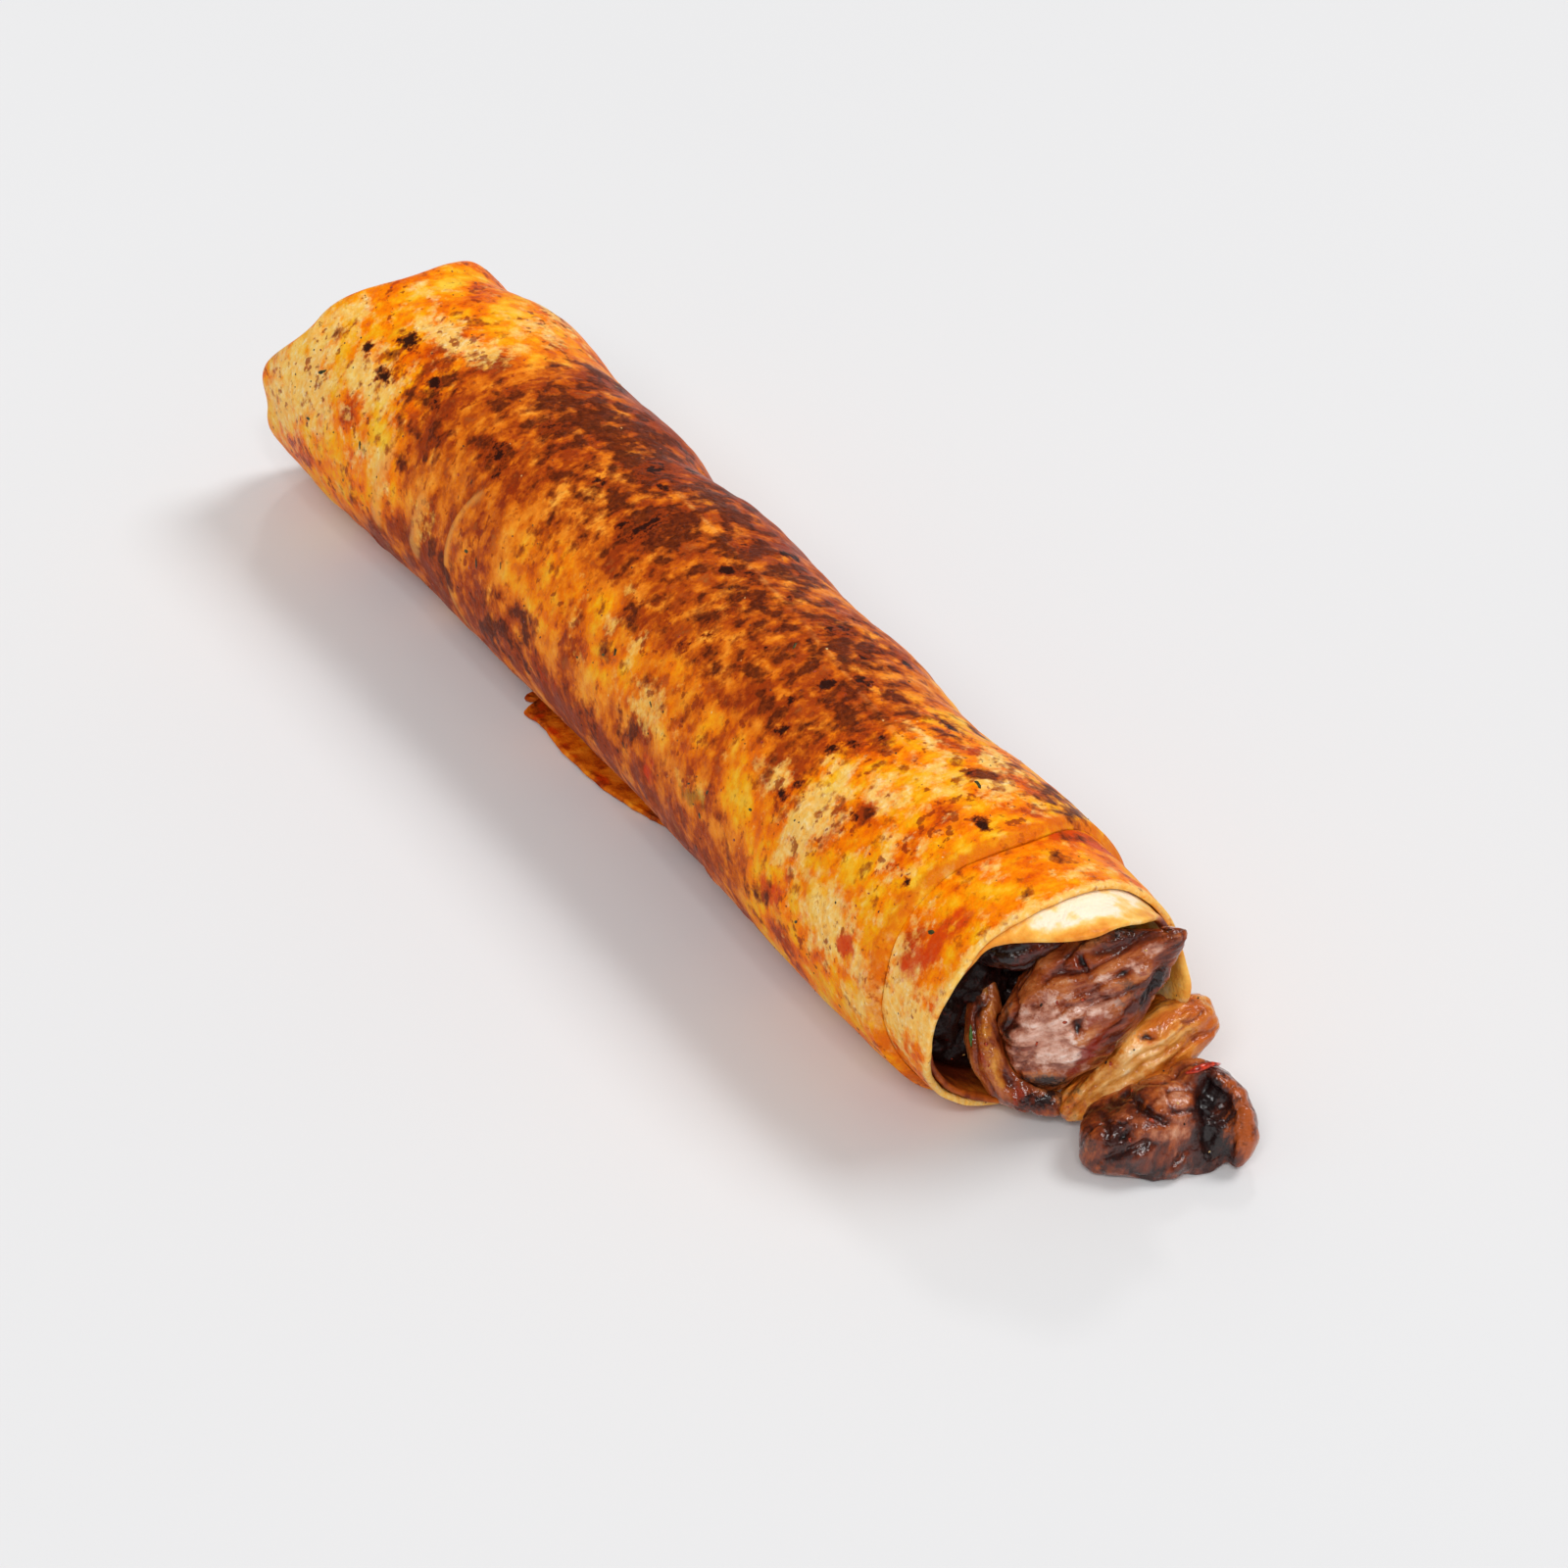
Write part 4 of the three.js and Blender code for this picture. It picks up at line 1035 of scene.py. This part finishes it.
# %% Shades and grains of griddled lavash
OIL_ORANGE = [(0.0, "#FFCA3C"), (0.3, "#FFAC0C"), (0.6, "#FF8600"), (0.85, "#EE6400"), (1.0, "#D04402")]
FILM_BROWN = [(0.0, "#FFB44A"), (0.3, "#F8942A"), (0.6, "#DE7012"), (0.85, "#B44A10"), (1.0, "#86320F")]
CREAM = [(0.2, "#FAA636"), (0.36, "#FFC254"), (0.54, "#FFD678"), (0.72, "#FFEEB8")]
TOAST = [(0.30, "#8E3A10"), (0.45, "#6A280D"), (0.60, "#4A1A0C"), (0.75, "#32120B")]
SAUCE, HALO, CHAR, FRECKLE = colour("#D83E0A"), colour("#A83E0C"), colour("#220F0C"), colour("#94300C")
RIDGE, EDGE, GREEN = colour("#F8B458"), colour("#D8660E"), colour("#5E5A20")
ROUND_STRETCH = (1, 0.8, 0.8)  # draws patterns out a little round the roll
BREAD_MARKS = ("toasted", "scorched", "soaked", "deep", "pale", "red", "green", "crease", "stained")
BREAD_GRAINS = {  # lump size in mm, layers of detail, roughness of the layers
    "cloud": (13, 3, 0.55), "flake": (4.4, 7, 0.62), "speck": (1.2, 5, 0.62), "crumb": (3.4, 8, 0.66),
    "smear": (6.5, 8, 0.66), "blot": (4.0, 7, 0.58), "ash": (2.2, 7, 0.66), "sheen": (6.0, 4, 0.55),
    "freckle": (2.3, 4, 0.55),
}

# %% [markdown]
# The plain bread takes its shade from slow noise plus finer noise. Then come the layers, from what
# soaked in first to what burnt on last. The toast gets a red-brown halo by laying the same noise twice,
# first at a lower level and then at a higher one, and so does the char.

# %% Griddled lavash: oiled wheat bread, soft sheen, orange with brown and black marks
def lavash(oil, contrast, freckles):
    """Paint for oiled bread: oil shifts its plain places from golden to orange, freckles adds specks."""
    def paint(add):
        here = add("TexCoord", give="Object")
        place = add("Mapping", {"Vector": here, "Scale": ROUND_STRETCH})
        mark = {name: add("Attribute", give="Fac", attribute_name=name) for name in BREAD_MARKS}
        grain = {name: add("TexNoise", {"Vector": place, "Scale": 1000 / size, "Detail": detail,
                                        "Roughness": rough})
                 for name, (size, detail, rough) in BREAD_GRAINS.items()}
        tone = times_plus(add, grain["cloud"], 0.45, oil)
        tone = times_plus(add, grain["flake"], 0.55, tone)
        tone = add("MapRange", {"Value": tone, "From Min": 0.5 - contrast, "From Max": 0.5 + contrast})
        plain = add("ValToRGB", {"Fac": times_plus(add, mark["soaked"], 0.25, tone)}, OIL_ORANGE)
        deeper = times_plus(add, mark["toasted"], 0.14, tone)
        deeper = times_plus(add, mark["deep"], 0.45, deeper)
        film = add("ValToRGB", {"Fac": deeper}, FILM_BROWN)
        cream = add("ValToRGB", {"Fac": times_plus(add, mark["soaked"], -0.2, grain["speck"])}, CREAM)
        toast = add("ValToRGB", {"Fac": grain["speck"]}, TOAST)
        dry = times_plus(add, mark["pale"], 0.36, times_plus(add, mark["soaked"], -0.15, 0.0))
        spotty = times_plus(add, grain["cloud"], 0.5, freckles)
        layers = (  # colour, grain, mask, how far it moves the level, levels of none and full, share
            (film, "cloud", mark["soaked"], 0.5, 0.57, 0.90, 0.92),
            (cream, "crumb", dry, 1.0, 0.565, 0.72, 0.82),
            (FRECKLE, "freckle", spotty, 1.0, 0.86, 0.92, 0.8),
            (SAUCE, "smear", mark["red"], 0.4, 0.64, 0.80, 0.9),
            (EDGE, "flake", mark["stained"], 0.4, 0.60, 0.90, 0.7),
            (GREEN, "crumb", mark["green"], 0.5, 0.78, 1.0, 0.6),
            (RIDGE, "flake", mark["crease"], 0.4, 0.60, 0.95, 0.55),
            (HALO, "blot", mark["toasted"], 0.36, 0.60, 0.68, 0.75),
            (toast, "blot", mark["toasted"], 0.36, 0.685, 0.765, 0.92),
            (HALO, "ash", mark["scorched"], 0.37, 0.63, 0.71, 0.85),
            (CHAR, "ash", mark["scorched"], 0.37, 0.695, 0.79, 0.95),
        )
        shade = plain
        for over, name, mask, *levels in layers:
            shade = laid_over(add, shade, over, grain[name], mask, *levels)
        gloss = add("MapRange", {"Value": grain["sheen"], "From Min": 0.38, "From Max": 0.62,
                                 "To Min": 0.3, "To Max": 0.52})
        height = times_plus(add, grain["blot"], 2.0, grain["speck"])
        skin = add("Bump", {"Height": height, "Distance": 0.45 * MM})
        return {"Base Color": shade, "Roughness": gloss, "Normal": skin, "Coat Normal": skin}
    return paint


OILED = dict(IOR=1.4, Specular_IOR_Level=0.04, Coat_Weight=0.08, Coat_Roughness=0.1)
griddled = finish("griddled_lavash", lavash(0.01, 0.13, 0.0), **OILED)
oiled = finish("oiled_lavash", lavash(0.05, 0.15, -0.07), **OILED)
outer.data.materials.append(griddled)
flap.data.materials.append(griddled)
middle.data.materials.append(oiled)


# %% [markdown]
# ### Pale lavash
# The innermost turn never met the griddle: it is floury and nearly white outside, whiter on top as a
# painted highlight, yellow where oil crept in at its edge, and inside it is stained brown by meat juice,
# darker deeper in the mouth as painted shade.

# %% Pale lavash: floury wheat bread that lets a little light through
PALE_TONES = [(0.0, "#FFF0D4"), (0.10, "#FFDD98"), (0.25, "#FFC056"), (0.5, "#F0942A"),
              (0.75, "#BC5A16"), (1.0, "#76290D")]


def pale_lavash(add):
    """Paint for the innermost turn: stains and painted shade darken it, the pale mark and a painted
    highlight whiten it.
    """
    here = add("TexCoord", give="Object")
    cloud, mottle, fleck = (add("TexNoise", {"Vector": here, "Scale": 1000 / size}) for size in (9, 3, 0.9))
    stained, pale = (add("Attribute", give="Fac", attribute_name=name) for name in ("stained", "pale"))
    total = times_plus(add, cloud, 0.8, -0.45)
    for value, weight in ((mottle, 0.6), (stained, 0.6), (pale, -0.3)):
        total = times_plus(add, value, weight, total)
    bread = add("ValToRGB", {"Fac": total}, PALE_TONES)
    return {"Base Color": bread, "Normal": add("Bump", {"Height": fleck, "Distance": 0.3 * MM})}


pale_bread = finish("pale_lavash", pale_lavash, IOR=1.45, Roughness=0.5, Specular_IOR_Level=0.2,
                    Coat_Weight=0.15, Coat_Roughness=0.2, Subsurface_Weight=0.1, Subsurface_Scale=0.002)
inner.data.materials.append(pale_bread)

# %% [markdown]
# ### Grilled meat
# Cooked muscle is grey-pink where it was cut and brown where it touched the grill. Its fibres show
# as streaks, so we turn the noise to the fibres' way and draw it out four times along it. Crests
# are painted lighter and valleys darker as painted light and shade, and a film of juice over it all
# gives small sharp glints. Each cut has its own shades and its own way.

# %% Grilled meat: a brown sear, a pale cut face, painted light and shade, and a wet film
MEAT_MARKS = ("painted_relief_light_and_shade", "pale", "dark", "red")
# near black for char, and for painted shade in the hollows, folds and gaps of the cuts
CHAR_AND_PAINTED_SHADE = colour("#160708")


def meat(sear, cut, way, juice="#8A1410"):
    """Paint for a cut: its sear shades, its cut shades with their painted sheen, the way its fibres run,
    and its juice.
    """
    def paint(add):
        here = add("TexCoord", give="Object")
        turned = Vector(way).to_track_quat("X", "Z").to_euler()
        drawn = add("Mapping", {"Vector": here, "Rotation": turned, "Scale": (4, 1, 1)},
                    vector_type="TEXTURE")
        mark = {name: add("Attribute", give="Fac", attribute_name=name) for name in MEAT_MARKS}
        cloud = add("TexNoise", {"Vector": here, "Scale": 1000 / 6, "Detail": 5.0})
        crumb = add("TexNoise", {"Vector": here, "Scale": 1000 / 2, "Detail": 7.0, "Roughness": 0.66})
        fibre = add("TexNoise", {"Vector": drawn, "Scale": 1000 / 1.3, "Detail": 6.0, "Roughness": 0.6})
        drops = add("TexNoise", {"Vector": here, "Scale": 1000 / 1.1, "Detail": 2.0})
        # painted light and shade: the relief mask lightens crests and darkens valleys
        tone = -0.06
        for value, weight in ((mark["painted_relief_light_and_shade"], 0.34), (fibre, 0.42), (cloud, 0.36)):
            tone = times_plus(add, value, weight, tone)
        tone = add("MapRange", {"Value": tone, "From Min": 0.34, "From Max": 0.70})
        shade, cut_face_and_painted_sheen = add("ValToRGB", {"Fac": tone}, sear), add("ValToRGB", {"Fac": tone}, cut)
        # the cut face shades carry a painted sheen on the pale places
        shade = laid_over(add, shade, cut_face_and_painted_sheen, crumb, mark["pale"], 0.42, 0.60, 0.82, 0.95)
        shade = laid_over(add, shade, colour(juice), fibre, mark["red"], 0.42, 0.62, 0.84, 0.85)
        # painted shade: the dark mask lays near black in hollows, folds and gaps as well as on char
        shade = laid_over(add, shade, CHAR_AND_PAINTED_SHADE, crumb, mark["dark"], 0.42, 0.62, 0.86, 0.96)
        gloss = add("MapRange", {"Value": cloud, "From Min": 0.35, "From Max": 0.65,
                                 "To Min": 0.3, "To Max": 0.5})
        grain = add("Bump", {"Height": times_plus(add, crumb, 0.7, fibre), "Distance": 0.6 * MM})
        film = add("Bump", {"Height": times_plus(add, crumb, 0.25, drops), "Distance": 0.34 * MM})
        return {"Base Color": shade, "Roughness": gloss, "Normal": grain, "Coat Normal": film}
    return paint

# %% [markdown]
# One paint serves all the meat. What differs is the shades: brown with a grey-pink face and a painted
# sheen for the slice, orange-brown and yellow for the fat, golden with painted highlights for the glaze,
# light brown with a painted sheen for the fallen cut, and maroon darkened as painted shade for what
# lies in the shade.

# %% Shades of the five cuts and of the filling
WET = dict(IOR=1.4, Specular_IOR_Level=0.2, Coat_Weight=0.9, Coat_Roughness=0.1)
BROWN = [(0.0, "#541A0B"), (0.35, "#923C14"), (0.65, "#BE6830"), (1.0, "#E4A06A")]
DARK_BROWN = [(0.0, "#3A1209"), (0.35, "#762E10"), (0.65, "#A84E1A"), (1.0, "#CE803E")]
# painted shade: maroon darkened nearly to black for meat deep in the shade of the mouth
MAROON_AND_PAINTED_SHADE = [(0.0, "#1A0806"), (0.4, "#3A110B"), (0.7, "#5C1C10"), (1.0, "#883216")]
ORANGE_BROWN = [(0.0, "#8E3A10"), (0.35, "#C66216"), (0.65, "#EA8E2C"), (1.0, "#FAB65C")]
# grey-pink flesh whose light end, up to white, is a painted sheen
PINK_GREY_AND_PAINTED_SHEEN = [(0.0, "#8E442E"), (0.3, "#CC8C72"), (0.55, "#F0C2AE"), (0.8, "#FFEADF"), (1.0, "#FFFFFF")]
# yellow fat, also used for a painted highlight on the fatty cut
YELLOW_FAT_AND_PAINTED_SHEEN = [(0.0, "#C06A18"), (0.35, "#E0943A"), (0.65, "#F6BE72"), (1.0, "#FFE6B8")]
# golden glaze whose light end is partly a painted highlight
GLAZE_AND_PAINTED_HIGHLIGHT = [(0.0, "#9A400C"), (0.35, "#C86E18"), (0.65, "#E69C3C"), (1.0, "#FACC86")]
# light brown whose pink light end is a painted sheen on the knobs
LIGHT_BROWN_AND_PAINTED_SHEEN = [(0.0, "#7A3016"), (0.35, "#AC5830"), (0.65, "#CE8A64"), (1.0, "#F0C0A6")]
PAINTS = {  # sear, cut face, colour of the juice
    "big_slice": (BROWN, PINK_GREY_AND_PAINTED_SHEEN, "#8A1408"),
    "fatty_cut": (ORANGE_BROWN, YELLOW_FAT_AND_PAINTED_SHEEN, "#C65C12"),
    "glazed_strip": (BROWN, GLAZE_AND_PAINTED_HIGHLIGHT, "#98260A"),
    "dark_cut": (MAROON_AND_PAINTED_SHADE, BROWN, "#4A100C"),
    "fallen_cut": (DARK_BROWN, LIGHT_BROWN_AND_PAINTED_SHEEN, "#B4541A"),
}
for name, (sear, cut_face, juice) in PAINTS.items():
    paint = meat(sear, cut_face, CUTS[name]["way"], juice)
    cuts[name].data.materials.append(finish(CUTS[name]["slot"], paint, **WET))
# painted shade: the filling takes the near-black maroon for the shade deep in the mouth
shaded = finish("packed_meat", meat(MAROON_AND_PAINTED_SHADE, BROWN, (1, 0.2, 0.2)), **{**WET, "Coat_Weight": 0.25})
filling.data.materials.append(shaded)

# %% [markdown]
# ## Herbs, pepper and crumbs
# Dried herb, ground pepper and chilli stick to the oil. Each bit is a thin lens with a ragged rim, a
# bend and a turn of its own. To lay it down we shoot a ray at the bread or the meat and put the bit
# where it lands, flat on the surface. All bits of one kind are joined in one mesh.

# %% Where a bit lands
SURFACES = [BVHTree.FromObject(piece, bpy.context.evaluated_depsgraph_get())
            for piece in (outer, middle, inner, filling, *cuts.values())]


def landing(start, way):
    """The first surface a ray meets: its place and its outward direction, or None."""
    hits = [tree.ray_cast(Vector(start), Vector(way)) for tree in SURFACES]
    hits = [hit for hit in hits if hit[0] is not None]
    if not hits:
        return None
    where, normal, _, _ = min(hits, key=lambda hit: hit[3])
    return np.array(where), np.array(normal)


def on_roll(along, turn):
    """Where a ray lands that runs from outside towards the roll's axis."""
    start = roll_points(along, turn, 60.0)
    return landing(start, roll_points(along, turn, 0.0) - start)


def on_cut(name, right, up):
    """Where a ray lands that looks into the mouth, right of and above the middle of a cut."""
    low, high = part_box(CUTS[name]["node"])
    start = np.array((low + high) / 2) + (right * RIGHT + up * UP + 80 * TOWARDS) * MM
    return landing(start, -TOWARDS)


# %% [markdown]
# One lens is three rings of ten points, closed at both ends. A few hundred lenses as separate objects
# would be slow to handle, so we stack their points and shift the numbers in their faces.

# %% Bits joined in one piece
RIM_POINTS = 10
RING_SIZES, RING_HEIGHTS = (0.6, 1, 0.6), (-1, 0, 1)


def bit_points(where, normal, size, rng):
    """Rings of one ragged lens, `size` long, wide and thick in mm, laid flat where it landed."""
    long, wide, thick = size
    angle = np.arange(RIM_POINTS) * 2 * np.pi / RIM_POINTS
    rim = 1 + rng.uniform(-0.22, 0.22, RIM_POINTS)
    x = np.concatenate([long / 2 * np.cos(angle) * rim * k for k in RING_SIZES] + [[0.0, 0.0]])
    y = np.concatenate([wide / 2 * np.sin(angle) * rim * k for k in RING_SIZES] + [[0.0, 0.0]])
    z = thick * (0.3 + 0.5 * np.concatenate([np.repeat(RING_HEIGHTS, RIM_POINTS), (-1.1, 1.1)]))
    z = z + rng.uniform(-0.05, 0.12) * x**2
    heading = np.cross(normal, rng.normal(size=3))
    heading /= np.linalg.norm(heading)
    beside = np.cross(normal, heading)
    return where + MM * (np.outer(x, heading) + np.outer(y, beside) + np.outer(z, normal))


def joined_bits(name, seed, listed, on_bread, on_meat, long, slim, thick):
    """All bits of one kind: the listed places, then random ones on the bread and on the meat."""
    rng = np.random.default_rng(seed)
    places = [on_roll(*place) for place in listed]
    places += [on_roll(rng.uniform(16, 300), rng.uniform(-125, 125)) for _ in range(on_bread)]
    names = sorted(cuts)
    places += [on_cut(names[rng.integers(len(names))], *rng.uniform(-13, 13, 2)) for _ in range(on_meat)]
    lens = skin_faces(3, RIM_POINTS, caps=True)
    points, faces = [], []
    for place in places:
        if place is None:
            continue
        length = rng.uniform(*long)
        size = (length, length * rng.uniform(*slim), thick * rng.uniform(0.8, 1.3))
        faces += [tuple(i + len(points) * (3 * RIM_POINTS + 2) for i in face) for face in lens]
        points.append(bit_points(*place, size, rng))
    piece = mesh_piece(name, np.concatenate(points), faces)
    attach(piece, "root")
    return piece


HERBS_AT = [(54, -73), (48, -94), (111, -74), (120, -66), (157, -72), (187, -63), (106, -73), (166, -62),
            (169, -57), (212, -82), (209, -76), (215, -84), (232, -64), (257, -86), (30, -60)]
BIT_KINDS = {  # seed, listed places, how many on bread and on meat, length, slimness, thickness
    "herb_leaves": (31, HERBS_AT, 14, 0, (1.4, 3.0), (0.3, 0.5), 0.16),
    "pepper_flecks": (32, [], 170, 8, (0.4, 0.85), (0.6, 0.95), 0.4),
    "chilli_crumbs": (33, [(276, -78), (292, -60)], 110, 16, (0.5, 1.2), (0.4, 0.8), 0.25),
    "pale_crumbs": (34, [(258, -6), (240, -3), (212, 2)], 34, 4, (0.4, 1.0), (0.5, 0.8), 0.2),
}
bits = {name: joined_bits(name, *kind) for name, kind in BIT_KINDS.items()}

# %% [markdown]
# A green sprig sticks in the glaze at the mouth, and a strip of red pepper skin lies along the top of
# the fallen cut. Both are thin tubes along a path that we lay on the meat by rays, then smooth.

# %% A sprig in the mouth and a strip of roast pepper on the fallen cut
def tube_piece(name, path, radius, seed, around=10):
    """A closed, slightly uneven tube along points in metres, with tapered ends."""
    path = np.asarray(path)
    ways = np.gradient(path, axis=0)
    ways /= np.linalg.norm(ways, axis=1)[:, None]
    side = np.cross(ways, TOWARDS)
    side /= np.linalg.norm(side, axis=1)[:, None]
    rise = np.cross(side, ways)
    share = np.linspace(0, 1, len(path))
    taper = np.clip(4 * share * (1 - share), 0.15, 1) ** 0.4
    full = radius * (1 + 0.45 * uneven(path / MM, 1.2, seed)) * taper
    angle = np.arange(around) * 2 * np.pi / around
    rings = path[:, None] + MM * full[:, None, None] * (
        np.cos(angle)[None, :, None] * side[:, None] + 0.6 * np.sin(angle)[None, :, None] * rise[:, None])
    ends = [path[0] - 0.3 * MM * ways[0], path[-1] + 0.3 * MM * ways[-1]]
    points = np.concatenate([rings.reshape(-1, 3), ends])
    piece = mesh_piece(name, points, skin_faces(len(path), around, caps=True))
    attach(piece, "root")
    return piece


def path_on_cut(name, places, lift, count):
    """Evenly spaced points over a cut through places given as right and up, lifted off it in mm."""
    corners, stations = np.linspace(0, 1, len(places)), np.linspace(0, 1, count)
    right, up = (np.interp(stations, corners, values) for values in zip(*places))
    landed = [on_cut(name, r, u) for r, u in zip(right, up)]
    points = np.array([where + lift * MM * normal for where, normal in landed])
    for _ in range(3):
        points[1:-1] = (points[:-2] + 2 * points[1:-1] + points[2:]) / 4
    return points


SPRIG = [(-7.8, 4.7), (-7.75, 2.6), (-7.6, 0.5)]
PEPPER = [(4.0, 9.6), (6.4, 10.4), (8.6, 11.0), (11.0, 10.8)]
sprig_path = path_on_cut("glazed_strip", SPRIG, 0.45, 12)
bits["herb_sprig"] = tube_piece("herb_sprig", sprig_path, 0.36, 91)
pepper_path = path_on_cut("fallen_cut", PEPPER, 0.6, 20)
bits["roast_pepper"] = tube_piece("roast_pepper", pepper_path, 0.65, 92)

# %% [markdown]
# Bits this small need no more than two shades that run into each other, but they shine differently:
# ground pepper and crumbs are dull, oily chilli glints, and the pepper skin is wet.

# %% Their finishes: dried leaf, ground pepper, oily chilli, bread crumb and roast pepper skin
BIT_FINISHES = {  # piece: finish, dark and light shade, lump size in mm, roughness, coat
    "herb_leaves": ("dried_herb", "#1E220C", "#4C4C1C", 0.8, 0.6, 0.1),
    "herb_sprig": ("fresh_herb", "#2A4A16", "#5C8236", 0.6, 0.5, 0.3),
    "pepper_flecks": ("ground_pepper", "#140D0A", "#46301E", 0.5, 0.6, 0.1),
    "chilli_crumbs": ("oiled_chilli", "#6E1406", "#C0420F", 0.6, 0.4, 0.5),
    "pale_crumbs": ("toasted_crumb", "#C88A3C", "#F2CC88", 0.6, 0.6, 0.1),
    "roast_pepper": ("roast_pepper_skin", "#7E1206", "#DA3A14", 0.9, 0.35, 0.8),
}


def two_shades(dark, light, lump):
    """Paint that runs between two shades in lumps of a size in mm."""
    def paint(add):
        here = add("TexCoord", give="Object")
        noise = add("TexNoise", {"Vector": here, "Scale": 1000 / lump, "Detail": 5.0})
        shade = add("ValToRGB", {"Fac": noise}, [(0.38, dark), (0.62, light)])
        return {"Base Color": shade, "Normal": add("Bump", {"Height": noise, "Distance": 0.15 * MM})}
    return paint


for name, (title, dark, light, lump, rough, coat) in BIT_FINISHES.items():
    bits[name].data.materials.append(finish(
        title, two_shades(dark, light, lump), Roughness=rough, Coat_Weight=coat, Specular_IOR_Level=0.3))

# %% [markdown]
# ## Floor, light and camera
# The floor is pale matt paper without a visible end, so nothing draws the eye from the food.

# %% Floor
mesh = bpy.data.meshes.new("floor")
mesh.from_pydata([(-6, -6, 0), (6, -6, 0), (6, 6, 0), (-6, 6, 0)], [], [(0, 1, 2, 3)])
floor = bpy.data.objects.new("floor", mesh)
bpy.context.scene.collection.objects.link(floor)


def paper(add):
    """Paint for the floor: nearly one shade of light grey."""
    here = add("TexCoord", give="Object")
    shade = add("TexNoise", {"Vector": here, "Scale": 1000 / 400})
    return {"Base Color": add("ValToRGB", {"Fac": shade}, [(0.3, "#E4E4E5"), (0.7, "#E2E2E3")])}


mesh.materials.append(finish("matt_paper", paper, Roughness=0.9))

# %% [markdown]
# A soft sun stands behind the roll on the +Y side and lays soft shadows to the front. A second one
# shines from the open end, so that the meat isn't lost in shade. Two small, weak suns put sharp glints
# on the juice. A white sky fills the rest, and we dim it where a surface mirrors it, because a full
# white mirror image would wash out the brown of the meat and the orange of the oil.

# %% Lights
def sun(name, offset, power, spread):
    """A sun that shines on the roll's middle from an offset, with shadows blurred over some degrees."""
    light = bpy.data.lights.new(name, "SUN")
    light.energy, light.angle = power, np.radians(spread)
    lamp = bpy.data.objects.new(name, light)
    lamp.location = (cad_low + cad_high) / 2 + Vector(offset)
    lamp.rotation_euler = (-Vector(offset)).to_track_quat("-Z", "Y").to_euler()
    bpy.context.scene.collection.objects.link(lamp)


SKY_LIGHT, SKY_IN_GLOSS = 0.38, 0.08
sun("key", (0.3, 1.2, 1.9), 1.30, 24)
sun("front", (1.0, -0.9, 1.3), 1.14, 20)
sun("sparkle_near", (0.95, -0.35, 1.1), 0.32, 7)
sun("sparkle_far", (-0.8, 0.6, 1.1), 0.25, 7)
world = bpy.data.worlds.new("studio")
world.use_nodes = True
sky = world.node_tree
mirrored = node(sky, "LightPath", give="Is Glossy Ray")
strength = node(sky, "MapRange", {"Value": mirrored, "To Min": SKY_LIGHT, "To Max": SKY_IN_GLOSS})
sky.links.new(strength, sky.nodes["Background"].inputs["Strength"])
sky.nodes["Background"].inputs["Color"].default_value = colour("#FFFFFF")
bpy.context.scene.world = world

# %% [markdown]
# The camera looks down at about 36 degrees on the open end and the -Y side. It stands more than a metre
# away and has a long lens, so that the far end looks only a little smaller than the mouth.

# %% Camera
CAMERA_AT = Vector((0.9076, -0.5217, 0.7527))
LOOKS = Vector((-0.6996, 0.4143, -0.5823))
LENS, SENSOR = 130.4, 36.0  # in mm
camera = bpy.data.objects.new("camera", bpy.data.cameras.new("camera"))
camera.location = CAMERA_AT
camera.rotation_euler = LOOKS.to_track_quat("-Z", "Y").to_euler()
camera.data.lens, camera.data.sensor_width = LENS, SENSOR
bpy.context.scene.collection.objects.link(camera)
bpy.context.scene.camera = camera
bpy.context.scene.view_settings.view_transform = "Standard"
